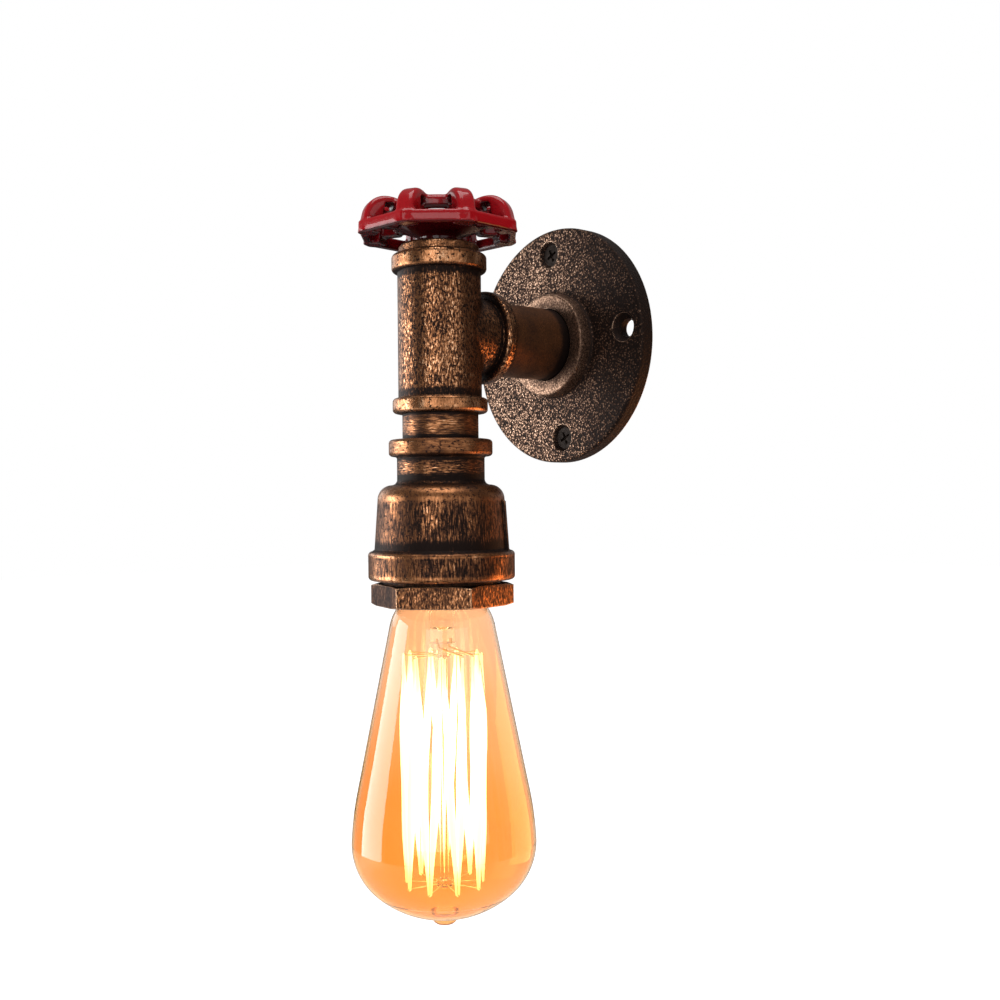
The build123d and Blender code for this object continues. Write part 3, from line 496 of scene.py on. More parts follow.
@dataclass(frozen=True)
class Enamel:
    """Thick glossy paint with a faint orange-peel skin, with painted shade that darkens it underneath, near
    corners and inside hollows.
    """

    name: str
    colour: Colour
    shade_and_dust: Colour
    roughness: float = 0.2
    corner: float = 5.0  # how far from a corner the painted shade reaches, mm
    hollow: float = 20.0  # how far across the inside of a hollow is, mm
    # painted shade: how much darker the inside of a hollow and the faces that look down are
    painted_hollow_shade: float = 0.9
    painted_underside_shade: float = 0.95
    patch_size: float = 6.0
    patchiness: float = 0.3
    dust_size: float = 0.35
    dust: float = 0.25
    sheen: float = 0.08
    coat: float = 0.42
    coat_roughness: float = 0.05
    peel_size: float = 1.6
    peel_depth: float = 0.06

    def material(self) -> bpy.types.Material:
        """Lay out the finish.

        Returns:
            The material.
        """
        sheet = ShaderSheet(self.name)
        patches = sheet.grain((self.patch_size,) * 3, detail=3.0, harsh=0.5)
        specks = sheet.grain((self.dust_size,) * 3, detail=3.0, harsh=0.7, shift=11.0)
        # painted shade: darker within a few mm of a corner
        corners = sheet.spread(sheet.nooks(self.corner), 0.35, 0.95)
        tone = sheet.add_share(corners, sheet.centred(patches), self.patchiness)
        tone = sheet.number("SUBTRACT", tone, sheet.spread(specks, 0.68, 0.8, 0.0, self.dust))
        # painted shade: darker across the inside of a hollow
        inside = sheet.spread(sheet.nooks(self.hollow), 0.4, 0.72, self.painted_hollow_shade, 0.0)
        tone = sheet.number("SUBTRACT", tone, inside)
        # painted shade: darker on faces that look down
        facing = sheet.nodes.new("ShaderNodeNewGeometry").outputs["Normal"]
        upward = sheet.vector("DOT_PRODUCT", facing, (0.0, 0.0, 1.0))
        under = sheet.spread(upward, -0.8, -0.1, self.painted_underside_shade, 0.0)
        tone = sheet.number("SUBTRACT", tone, under, clamp=True)
        # the dark end is reached by painted shade and by dust specks and patches
        sheet.feed("Base Color", sheet.tones(tone, ((0.0, self.shade_and_dust), (1.0, self.colour))))
        sheet.feed("Roughness", sheet.spread(patches, 0.3, 0.7, self.roughness, self.roughness + 0.1))
        sheet.feed("Specular IOR Level", self.sheen)
        sheet.feed("Coat Weight", self.coat)
        sheet.feed("Coat Roughness", self.coat_roughness)
        peel = sheet.grain((self.peel_size,) * 3, detail=2.0, harsh=0.5, shift=5.0)
        sheet.relief(peel, self.peel_depth, 0.5)
        return sheet.material


@dataclass(frozen=True)
class Metal:
    """Bare or plated metal with brush marks, stains and rubbed edges, and where asked a painted glow."""

    name: str
    bright: Colour
    stained: Colour
    stroke: Stroke = Stroke.ROUND
    roughness: float = 0.3
    metallic: float = 1.0
    # painted glow, on parts that are no lamp
    glow: float = 0.0
    glow_colour: Colour = (1.0, 0.62, 0.22)
    sheen: float = 0.5
    stain_size: float = 2.6
    edge_width: float = 0.25
    edge_lift: float = 0.35
    mark_depth: float = 0.02

    def material(self) -> bpy.types.Material:
        """Lay out the finish.

        Returns:
            The material.
        """
        sheet = ShaderSheet(self.name)
        marks = sheet.grain(self.stroke.value)
        stains = sheet.grain((self.stain_size,) * 3, shift=19.0)
        tone = sheet.add_share(sheet.number("MULTIPLY", marks, 0.6), stains, 0.8)
        edges, _ = sheet.rubbed_edges(self.edge_width)
        share = sheet.spread(sheet.add_share(tone, edges, self.edge_lift), 0.4, 0.95)
        sheet.feed("Base Color", sheet.tones(share, ((0.0, self.stained), (1.0, self.bright))))
        sheet.feed("Metallic", self.metallic)
        sheet.feed("Specular IOR Level", self.sheen)
        sheet.feed("Roughness", sheet.spread(share, 0.0, 1.0, self.roughness + 0.2, self.roughness))
        if self.glow:
            sheet.feed("Emission Color", (*self.glow_colour, 1.0))
            sheet.feed("Emission Strength", self.glow)
        sheet.relief(marks, self.mark_depth, 0.5)
        return sheet.material


@dataclass(frozen=True)
class Moulded:
    """Glazed ceramic, moulded plastic or rubber sleeve with a fine skin."""

    name: str
    colour: Colour
    soiled: Colour
    roughness: float = 0.4
    grain_size: float = 0.5
    coat: float = 0.0
    patch_size: float = 4.0
    corner: float = 3.0  # how far from a corner the dirt lies, mm
    skin_depth: float = 0.03

    def material(self) -> bpy.types.Material:
        """Lay out the finish.

        Returns:
            The material.
        """
        sheet = ShaderSheet(self.name)
        skin = sheet.grain((self.grain_size,) * 3)
        patches = sheet.grain((self.patch_size,) * 3, detail=3.0, harsh=0.5, shift=13.0)
        clean = sheet.spread(sheet.nooks(self.corner), 0.2, 0.9)
        tone = sheet.number("MULTIPLY", clean, sheet.spread(patches, 0.25, 0.6))
        sheet.feed("Base Color", sheet.tones(tone, ((0.0, self.soiled), (1.0, self.colour))))
        sheet.feed("Roughness", sheet.spread(skin, 0.3, 0.7, self.roughness * 0.8, self.roughness * 1.2))
        sheet.feed("Coat Weight", self.coat)
        sheet.relief(skin, self.skin_depth, 0.5)
        return sheet.material


@dataclass(frozen=True)
class TintedGlass:
    """Blown glass: tinted, smooth, faintly wavy and deeper in tone toward the foot, with painted shade that
    deepens its tone toward the -X side.
    """

    name: str
    tint: Colour
    deep: Colour
    reach: Span = (-190.0, -90.0)
    rise: float = 0.7  # how much paler it is at the top
    # painted shade across the bulb, deepest toward the -X side
    across: Span = (-20.0, 24.0)
    painted_side_shade: Span = (-0.04, 0.26)
    wash_size: Point = (26.0, 26.0, 34.0)
    wash: float = 0.06
    wave_depth: float = 0.25
    roughness: float = 0.0
    bending: float = 1.47

    def material(self) -> bpy.types.Material:
        """Lay out the finish.

        Returns:
            The material.
        """
        sheet = ShaderSheet(self.name)
        wash = sheet.grain(self.wash_size, detail=1.0, harsh=0.4)
        share = sheet.number("MULTIPLY", sheet.spread(sheet.along(Direction.UP), *self.reach), self.rise)
        # painted shade: deeper tone toward the -X side
        side_shade = sheet.spread(sheet.along(Direction.SIDE), *self.across, *self.painted_side_shade)
        share = sheet.number("ADD", share, side_shade)
        share = sheet.number("ADD", share, sheet.spread(wash, 0.3, 0.7, -self.wash, self.wash), clamp=True)
        sheet.feed("Base Color", sheet.tones(share, ((0.0, self.deep), (1.0, self.tint))))
        sheet.feed("Transmission Weight", 1.0)
        sheet.feed("IOR", self.bending)
        sheet.feed("Roughness", self.roughness)
        sheet.relief(wash, self.wave_depth, 0.15)
        return sheet.material


@dataclass(frozen=True)
class Incandescent:
    """Wire hot enough to glow, whitest along the middle of its strands and yellower at the hooks."""

    name: str
    hot: Colour
    cool: Colour
    strength: float
    reach: Span
    foot_fade: float = 14.0
    head_fade: float = 22.0
    flicker_size: Point = (1.4, 1.4, 5.0)
    cool_share: float = 0.45  # strength at the hooks over that at the middle

    def material(self) -> bpy.types.Material:
        """Lay out the finish.

        Returns:
            The material.
        """
        sheet = ShaderSheet(self.name)
        low, high = self.reach
        place = sheet.along(Direction.UP)
        rise = sheet.spread(place, low, low + self.foot_fade)
        fall = sheet.spread(place, high - self.head_fade, high, 1.0, 0.0)
        flicker = sheet.grain(self.flicker_size, detail=3.0)
        middle = sheet.number("MULTIPLY", sheet.number("MULTIPLY", rise, fall), 0.75)
        share = sheet.add_share(middle, flicker, 0.4)
        colour = sheet.tones(share, ((0.0, self.cool), (0.8, self.hot)))
        sheet.feed("Emission Color", colour)
        sheet.feed("Base Color", colour)
        glow = sheet.spread(share, 0.0, 1.0, self.strength * self.cool_share, self.strength)
        sheet.feed("Emission Strength", glow)
        sheet.feed("Roughness", 0.6)
        return sheet.material


# ------------------------------------------------------------------------------ mesh helpers
def dress(node: str, material: bpy.types.Material) -> None:
    """Put one material on a piece of the fixed frame.

    Args:
        node: the piece's name.
        material: its finish.
    """
    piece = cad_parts[node]
    piece.data.materials.clear()
    piece.data.materials.append(material)
    log.info("dressed %s with %s", node, material.name)


def new_piece(name: str, points: list[Point], faces: list[tuple[int, ...]],
              material: bpy.types.Material) -> bpy.types.Object:
    """Make a smooth-shaded mesh piece.

    Args:
        name: the piece's name.
        points: its corners in metres.
        faces: its faces as indices of corners.
        material: its finish.

    Returns:
        The new object, linked to the scene.
    """
    mesh = bpy.data.meshes.new(name)
    mesh.from_pydata(points, [], faces)
    mesh.update()
    mesh.shade_smooth()
    mesh.materials.append(material)
    piece = bpy.data.objects.new(name, mesh)
    bpy.context.scene.collection.objects.link(piece)
    return piece


def flat_sheet(name: str, size: Span, level: float, material: bpy.types.Material) -> bpy.types.Object:
    """Make a level rectangle about the origin.

    Args:
        name: the sheet's name.
        size: width and depth in metres.
        level: height in metres.
        material: its finish.

    Returns:
        The new object, linked to the scene.
    """
    wide, deep = size[0] / 2, size[1] / 2
    corners = [(-wide, -deep, level), (wide, -deep, level), (wide, deep, level), (-wide, deep, level)]
    return new_piece(name, corners, [(0, 1, 2, 3)], material)


def lamp_point(turn: float, radius: float, height: float) -> Point:
    """Point about the lamp's axis.

    Args:
        turn: direction in radians.
        radius: distance from the axis in mm.
        height: level in mm.

    Returns:
        The point in metres.
    """
    return (radius * math.cos(turn) * MM, radius * math.sin(turn) * MM - LAMP_DEPTH, height * MM)


# ------------------------------------------------------------------------------ sub-assemblies
@dataclass
class WallMount:
    """Round flange on the wall with its raised hub and two screws; sizes in mm."""

    thick: float = 5.5
    hub_front: float = 10.9

    def flange_finish(self) -> Bronze:
        """Pebbled cast face, rubbed hub, dark rim and painted shade that darkens the +X side.

        Returns:
            The finish.
        """
        face, hub = -self.thick, -self.hub_front
        zones = (
            Zone(Direction.OUT, hub - 1, hub + 0.45, lift=0.42, fade=0.3),
            Zone(Direction.OUT, hub + 0.5, face - 0.8, lift=0.46, fade=0.8),
            Zone(Direction.OUT, face + 0.6, 1.0, lift=-0.3, fade=0.6),
            # painted shade: the side toward +X darker, where less light falls
            Zone(Direction.SIDE, 13.0, 80.0, lift=-0.33, fade=46.0),
        )
        return Bronze("flange_bronze", Stroke.SPECKLED, level=0.13, contrast=1.9, cloud=0.4, zones=zones,
                      pebble_depth=0.26, edge_width=0.5, edge_lift=0.95, nook_drop=0.55, nook_reach=5.0,
                      roughness=(0.62, 0.4), palette=DUSTY)

    def build(self) -> None:
        """Dress the flange and its screws."""
        dress("wall_flange", self.flange_finish().material())
        screw = Metal("screw_black", (0.028, 0.02, 0.016), (0.007, 0.005, 0.004), Stroke.SPECKLED,
                      roughness=0.5, metallic=0.2, sheen=0.06)
        dress("wall_screws", screw.material())


@dataclass
class PipeRun:
    """Tee with its two nipples; levels and sizes in mm."""

    tee_up: float = 27.0
    tee_down: float = 27.8
    bead: float = 5.6
    branch_face: float = -38.5
    branch_bead: float = 4.6
    shown: float = 9.1  # length of the lower nipple between the fittings

    def tee_finish(self) -> Bronze:
        """Mottled cast body, smooth rubbed beads and dark corners beside them.

        Returns:
            The finish.
        """
        upper, lower = self.tee_up - self.bead, -self.tee_down + self.bead
        inner = self.branch_face - self.branch_bead
        zones = (
            Zone(Direction.UP, upper, self.tee_up + 1, lift=0.26, fade=0.6, calm=0.72),
            Zone(Direction.UP, -self.tee_down - 1, lower, lift=0.26, fade=0.6, calm=0.72),
            Zone(Direction.UP, upper - 2.6, upper, lift=-0.45, fade=1.4),
            Zone(Direction.UP, lower, lower + 2.2, lift=-0.45, fade=1.2),
            Zone(Direction.OUT, inner - 1.4, inner, lift=-0.4, fade=0.8),
            Zone(Direction.OUT, inner - 9.0, inner - 2.0, lift=-0.05, fade=2.0),
        )
        return Bronze("tee_bronze", Stroke.FLECKED, level=0.46, contrast=3.5, zones=zones,
                      relief_depth=0.06, specks=0.8, roughness=(0.5, 0.24))

    def build(self) -> None:
        """Dress the tee and the two nipples."""
        dress("tee", self.tee_finish().material())
        top = -self.tee_down
        low = top - self.shown
        ends = (Zone(Direction.UP, low, low + 1.2, lift=-0.4, fade=0.8),
                Zone(Direction.UP, top - 1.0, top, lift=-0.4, fade=0.6))
        lower = Bronze("lower_nipple_bronze", Stroke.ROUND, level=0.46, contrast=2.3, zones=ends,
                       roughness=(0.5, 0.3))
        dress("lower_nipple", lower.material())
        by_hub = Zone(Direction.OUT, -14.5, -10.0, lift=-0.3, fade=2.5)
        branch = Bronze("branch_nipple_bronze", Stroke.SPECKLED, level=0.4, contrast=0.8, cloud=0.5,
                        zones=(by_hub,), roughness=(0.5, 0.36))
        dress("branch_nipple", branch.material())


@dataclass
class ValveTop:
    """Bonnet plug, stem and red handwheel."""

    red: Colour = (0.26, 0.003, 0.006)
    # dark end of the paint, reached by painted shade underneath, near corners and in hollows, and by dust
    maroon: Colour = (0.035, 0.001, 0.002)
    voxel: float = 0.42  # mesh size of the soft casting, mm
    softening: int = 7  # rounds of smoothing
    softening_step: float = 0.5

    def cast_wheel(self) -> bpy.types.Object:
        """Handwheel with the soft fillets of a casting under thick paint.

        Returns:
            The wheel as a mesh piece that stands for the plain one.
        """
        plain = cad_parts["handwheel"]
        draft = bpy.data.objects.new("cast_handwheel_draft", plain.data.copy())
        draft.matrix_world = plain.matrix_world
        bpy.context.scene.collection.objects.link(draft)
        remesh = draft.modifiers.new("skin", "REMESH")
        remesh.mode = "VOXEL"
        remesh.voxel_size = self.voxel * MM
        smooth = draft.modifiers.new("soften", "SMOOTH")
        smooth.factor = self.softening_step
        smooth.iterations = self.softening
        bpy.context.view_layer.update()
        soft = draft.evaluated_get(bpy.context.evaluated_depsgraph_get())
        mesh = bpy.data.meshes.new_from_object(soft)
        bpy.data.objects.remove(draft)
        mesh.name = "cast_handwheel"
        mesh.shade_smooth()
        mesh.materials.clear()
        mesh.materials.append(Enamel("wheel_red_enamel", self.red, self.maroon).material())
        wheel = bpy.data.objects.new("cast_handwheel", mesh)
        wheel.matrix_world = plain.matrix_world
        bpy.context.scene.collection.objects.link(wheel)
        return wheel

    def build(self) -> None:
        """Dress the plug and the stem, and cast the wheel; then its washer and nut."""
        plug = Bronze("plug_bronze", Stroke.SPECKLED, level=0.6, contrast=1.9, nook_drop=0.5, specks=0.3)
        dress("bonnet_plug", plug.material())
        wheel = self.cast_wheel()
        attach(wheel, "wheel")
        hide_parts("handwheel")
        log.info("cast %s", wheel.name)
        steel = Metal("stem_plated_steel", (0.5, 0.44, 0.36), (0.12, 0.09, 0.07), roughness=0.32)
        for node in ("valve_stem", "wheel_washer", "wheel_nut"):
            dress(node, steel.material())


@dataclass
class BellGroup:
    """Reducing bell and the hexagon bushing below it; levels in mm."""

    top: float = -36.9
    neck_top: float = -42.7
    shoulder: float = -51.0
    wide: float = -58.0
    bead_top: float = -75.4
    bottom: float = -85.3

    def bell_finish(self) -> Bronze:
        """Collar and neck brushed round, skirt and bead streaked upright, smooth coppery shoulder, with a
        painted highlight down the face turned from the wall and painted shade on the +X side.

        Returns:
            The finish.
        """
        zones = (
            Zone(Direction.UP, self.neck_top + 0.3, self.top + 1, lift=0.26, fade=0.6, calm=0.6),
            Zone(Direction.UP, self.neck_top - 1.6, self.neck_top, lift=-0.3, fade=0.8),
            Zone(Direction.UP, self.shoulder + 2.0, self.neck_top - 1.6, lift=0.1, fade=0.8),
            Zone(Direction.UP, self.shoulder - 0.2, self.shoulder + 2.0, lift=-0.5, fade=1.6),
            Zone(Direction.UP, self.wide - 0.5, self.shoulder - 2.0, lift=0.3, fade=2.2, calm=0.75),
            Zone(Direction.UP, self.bead_top + 0.2, self.bead_top + 3.4, lift=-0.5, fade=2.6),
            Zone(Direction.UP, self.bead_top - 1.7, self.bead_top, lift=0.34, fade=0.8, calm=0.6),
            Zone(Direction.UP, self.bottom - 0.5, self.bottom + 2.2, lift=0.34, fade=1.0, calm=0.6),
            # painted highlight: a brighter, smoother upright stripe on the face turned away from the wall
            Zone(Direction.OUT, -100.0, -81.0, lift=0.08, fade=3.5, calm=0.35),
            # painted shade: the side toward +X darker
            Zone(Direction.SIDE, 8.0, 50.0, lift=-0.12, fade=12.0),
        )
        return Bronze("bell_bronze", Stroke.UPRIGHT, level=0.36, contrast=3.0, cloud=0.8, zones=zones,
                      brushed=(self.shoulder, self.top + 1), relief_depth=0.08, specks=0.4)

    def build(self) -> None:
        """Dress the bell and the bushing."""
        dress("reducer", self.bell_finish().material())
        # painted shade: the facets on the -X side darker
        shaded_left_faces = Zone(Direction.SIDE, -60.0, 2.0, lift=-0.2, fade=2.0)
        bushing = Bronze("bushing_bronze", Stroke.FLECKED, level=0.4, contrast=2.6, cloud=0.5,
                         edge_lift=0.9, edge_width=0.9, nook_drop=0.4, zones=(shaded_left_faces,))
        dress("hex_bushing", bushing.material())


@dataclass
class Lampholder:
    """Ceramic holder with its shell, contacts and terminals."""

    brass_nodes: tuple[str, ...] = (
        "socket_shell", "centre_contact", "contact_rivets", "terminal_posts", "terminal_screws")

    def build(self) -> None:
        """Dress the holder's pieces."""
        ceramic = Moulded("holder_glazed_ceramic", (0.8, 0.77, 0.68), (0.42, 0.36, 0.27),
                          roughness=0.25, grain_size=0.8, coat=0.5)
        dress("lampholder", ceramic.material())
        brass = Metal("contact_brass", (0.75, 0.52, 0.22), (0.33, 0.2, 0.08), roughness=0.28)
        for node in self.brass_nodes:
            dress(node, brass.material())


@dataclass
class Wiring:
    """Two leads inside the pipes and the connector block by the wall."""

    sleeve_roughness: float = 0.55
    sleeve_grain: float = 0.4

    def sleeve(self, name: str, colour: Colour, soiled: Colour) -> bpy.types.Material:
        """Rubber sleeve of a lead.

        Args:
            name: the material's name.
            colour: its clean colour.
            soiled: its colour in corners.

        Returns:
            The material.
        """
        return Moulded(name, colour, soiled, self.sleeve_roughness, self.sleeve_grain).material()

    def build(self) -> None:
        """Dress the leads and the connector block's pieces."""
        dress("lead_live", self.sleeve("lead_brown_sleeve", (0.13, 0.06, 0.032), (0.05, 0.025, 0.015)))
        dress("lead_neutral", self.sleeve("lead_blue_sleeve", (0.03, 0.1, 0.3), (0.015, 0.04, 0.1)))
        block = Moulded("block_white_plastic", (0.8, 0.79, 0.75), (0.5, 0.47, 0.4),
                        roughness=0.45, grain_size=0.6)
        dress("connector_block", block.material())
        brass = Metal("block_brass", (0.7, 0.5, 0.22), (0.3, 0.19, 0.08))
        dress("connector_tubes", brass.material())
        steel = Metal("block_screw_steel", (0.6, 0.58, 0.54), (0.25, 0.22, 0.19))
        dress("connector_screws", steel.material())


@dataclass(frozen=True)
class CageFilament:
    """Glowing wire that zigzags between two rings of hooks; sizes in mm, directions in degrees."""

    top: float = -111.3
    bottom: float = -190.8
    radius: float = 13.6
    hooks: int = 9
    hook_gap: float = 0.45
    hook_bend: float = 0.4  # how far the wire passes over a hook
    lead_in_angle: float = 9.0
    strand: float = 2.7  # how thick a glowing strand shows at its middle
    strand_end: float = 0.27  # share of that at its hooks
    swell: float = 3.2  # how soon a strand reaches its full thickness
    steps: int = 26
    waver: float = 0.22
    sideways_waves: float = 11.0  # radians from one end of a strand to the other
    inward_waves: float = 9.0
    inward_phase: float = 1.7
    fall_phase: float = 2.1
    rise_phase: float = 1.3
    rise_start: float = 0.8

    def strand_points(self, low_angle: float, high_angle: float, rising: bool, phase: float) -> list[Point]:
        """One long strand between two hooks, a little wavy as drawn carbon wire is.

        Args:
            low_angle: direction of its lower end.
            high_angle: direction of its upper end.
            rising: whether it is followed upward.
            phase: where its waves start.

        Returns:
            Its points in order.
        """
        points = []
        for step in range(self.steps + 1):
            share = step / self.steps
            part = share if rising else 1 - share
            height = self.bottom + (self.top - self.bottom) * part
            swing = math.sin(share * math.pi) * self.waver
            angle = low_angle + (high_angle - low_angle) * part
            angle += math.degrees(swing / self.radius) * math.sin(phase + share * self.sideways_waves)
            radius = self.radius + swing * math.cos(phase * self.inward_phase + share * self.inward_waves)
            points.append(lamp_point(math.radians(angle), radius, height))
        return points

    def width(self, share: float) -> float:
        """How wide the glow round a strand shows.

        Args:
            share: place along the strand from 0 to 1.

        Returns:
            The width over that of the strand's middle.
        """
        rise = min(1.0, self.swell * min(share, 1 - share))
        return self.strand_end + (1 - self.strand_end) * rise * rise * (3 - 2 * rise)

    def path(self) -> tuple[list[Point], list[float]]:
        """Way of the wire over all its hooks.

        Returns:
            Its points in order, and the width at each over that of a strand's middle.
        """
        step = 360 / self.hooks
        turn = math.degrees(self.hook_gap / self.radius)
        widths = [self.width(spot / self.steps) for spot in range(self.steps + 1)]
        points: list[Point] = []
        sizes: list[float] = []
        for place in range(self.hooks):
            last = place == self.hooks - 1
            low, high = (place + 0.5) * step, (place + 1) * step
            down_from = place * step + turn if place else self.lead_in_angle
            up_to = 360 - self.lead_in_angle if last else high - turn
            points += self.strand_points(low - turn, down_from, False, place * self.fall_phase)
            points.append(lamp_point(math.radians(low), self.radius, self.bottom - self.hook_bend))
            points += self.strand_points(low + turn, up_to, True, place * self.rise_phase + self.rise_start)
            sizes += [*widths, self.strand_end, *widths]
            if not last:
                points.append(lamp_point(math.radians(high), self.radius, self.top + self.hook_bend))
                sizes.append(self.strand_end)
        return points, sizes

    def piece(self) -> bpy.types.Object:
        """Draw the wire.

        Returns:
            The wire as a mesh piece that stands for the plain one.
        """
        points, sizes = self.path()
        curve = bpy.data.curves.new("glowing_filament_line", "CURVE")
        curve.dimensions = "3D"
        spline = curve.splines.new("POLY")
        spline.points.add(len(points) - 1)
        for spot, place, size in zip(spline.points, points, sizes):
            spot.co = (*place, 1.0)
            spot.radius = size
        curve.bevel_depth = self.strand * MM / 2
        curve.bevel_resolution = 2
        curve.use_fill_caps = True
        line = bpy.data.objects.new("glowing_filament_line", curve)
        mesh = bpy.data.meshes.new_from_object(line)
        bpy.data.objects.remove(line)
        mesh.name = "glowing_filament"
        mesh.shade_smooth()
        heat = Incandescent("filament_heat", (1.0, 0.95, 0.78), (1.0, 0.8, 0.4), strength=3.6,
                            reach=(self.bottom, self.top))
        mesh.materials.clear()
        mesh.materials.append(heat.material())
        wire = bpy.data.objects.new("glowing_filament", mesh)
        bpy.context.scene.collection.objects.link(wire)
        return wire


@dataclass(frozen=True)
class ScrewCap:
    """Rolled metal cap of the bulb with its round thread; sizes in mm."""

    bottom: float = -91.3
    height: float = 19.5
    crest: float = 13.05
    thread_depth: float = 0.85
    pitch: float = 3.629
    wall: float = 0.35
    runout: float = 2.0  # over which the thread starts and ends
    neck_r: float = 8.5
    neck_rises: Span = (2.8, 2.35)  # above the thread, outside and inside
    around: int = 96
    levels: int = 84

    def points(self) -> list[Point]:
        """Corners of the outer skin, the inner skin and the neck's two rings, ring by ring.

        Returns:
            The corners in metres.
        """
        turns = [2 * math.pi * spot / self.around for spot in range(self.around)]
        low, high = self.bottom, self.bottom + self.height
        points: list[Point] = []
        for skin in (0.0, self.wall):
            for level in range(self.levels + 1):
                height = low + (high - low) * level / self.levels
                fade = max(0.0, min(1.0, (height - low) / self.runout, (high - height) / self.runout))
                for turn in turns:
                    wave = 0.5 - 0.5 * math.cos(2 * math.pi * (height / self.pitch) + turn)
                    radius = self.crest - skin - self.thread_depth * wave * fade
                    points.append(lamp_point(turn, radius, height))
        for rise in self.neck_rises:
            points += [lamp_point(turn, self.neck_r, high + rise) for turn in turns]
        return points

    def faces(self) -> list[tuple[int, ...]]:
        """Faces of both skins, then the foot's and the neck's that join them.

        Returns:
            The faces as indices of points.
        """
        ring = self.around
        inner = (self.levels + 1) * ring  # first corner of the inner skin
        top = self.levels * ring
        neck = 2 * inner
        neck_inner = neck + ring
        faces: list[tuple[int, ...]] = []
        for base, order in ((0, 1), (inner, -1)):
            for level in range(self.levels):
                for spot in range(ring):
                    near = base + level * ring + spot
                    far = base + level * ring + (spot + 1) % ring
                    faces.append((near, far, far + ring, near + ring)[::order])
        for spot in range(ring):
            beside = (spot + 1) % ring
            faces.append((spot, inner + spot, inner + beside, beside))
            faces.append((top + spot, top + beside, neck + beside, neck + spot))
            faces.append((neck + spot, neck + beside, neck_inner + beside, neck_inner + spot))
            faces.append((inner + top + spot, neck_inner + spot, neck_inner + beside, inner + top + beside))
        return faces

    def piece(self) -> bpy.types.Object:
        """Roll the cap.

        Returns:
            The cap as a mesh piece that stands for the plain one.
        """
        metal = Metal("cap_rolled_brass", (0.72, 0.56, 0.3), (0.4, 0.27, 0.12), roughness=0.25)
        return new_piece("threaded_cap", self.points(), self.faces(), metal.material())


@dataclass
class FilamentBulb:
    """Pear-shaped amber bulb with its cap, glass mount and squirrel-cage filament."""

    cage: CageFilament = CageFilament()
    screw_cap: ScrewCap = ScrewCap()
    amber: TintedGlass = TintedGlass("bulb_amber_glass", (0.98, 0.75, 0.58), (0.98, 0.47, 0.12))
    clear: TintedGlass = TintedGlass("mount_clear_glass", (0.97, 0.96, 0.93), (0.95, 0.94, 0.9))

    def build(self) -> None:
        """Dress the glass and the mount, and make the wire and the cap."""
        dress("bulb_glass", self.amber.material())
        dress("bulb_stem", self.clear.material())
        black = Moulded("insulator_black_glass", (0.02, 0.02, 0.022), (0.01, 0.01, 0.01), roughness=0.15)
        dress("bulb_insulator", black.material())
        dress("bulb_tip", Metal("tip_solder", (0.62, 0.6, 0.57), (0.35, 0.33, 0.3)).material())
        # painted glow: the support wires give off a faint orange light though they are no lamp
        glowing_wire_steel = Metal("support_wire_steel", (0.75, 0.6, 0.4), (0.4, 0.28, 0.16), Stroke.SPECKLED,
                     roughness=0.35, glow=0.5)
        for node in ("filament_hooks", "lead_in_wires"):
            dress(node, glowing_wire_steel.material())
        wire = self.cage.piece()
        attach(wire, "bulb")
        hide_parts("filament")
        log.info("drew %s", wire.name)
        cap = self.screw_cap.piece()
        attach(cap, "bulb")
        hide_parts("bulb_cap")
        log.info("rolled %s", cap.name)


# ------------------------------------------------------------------------------ studio
@dataclass(frozen=True)
class Stand:
    """Where a light or card stands: degrees right of the camera's side, degrees up and metres away."""

    azimuth: float
    elevation: float
    distance: float


@dataclass(frozen=True)
class Softbox:
    """Rectangular soft light that faces the lamp, its size in metres and its power in watts."""

    name: str
    stand: Stand
    size: Span
    power: float
    colour: Colour = (1.0, 1.0, 1.0)


@dataclass(frozen=True)
class DarkCard:
    """Card that only shows in the metal's reflections, its size in metres."""

    name: str
    stand: Stand
    size: Span
    shade: float


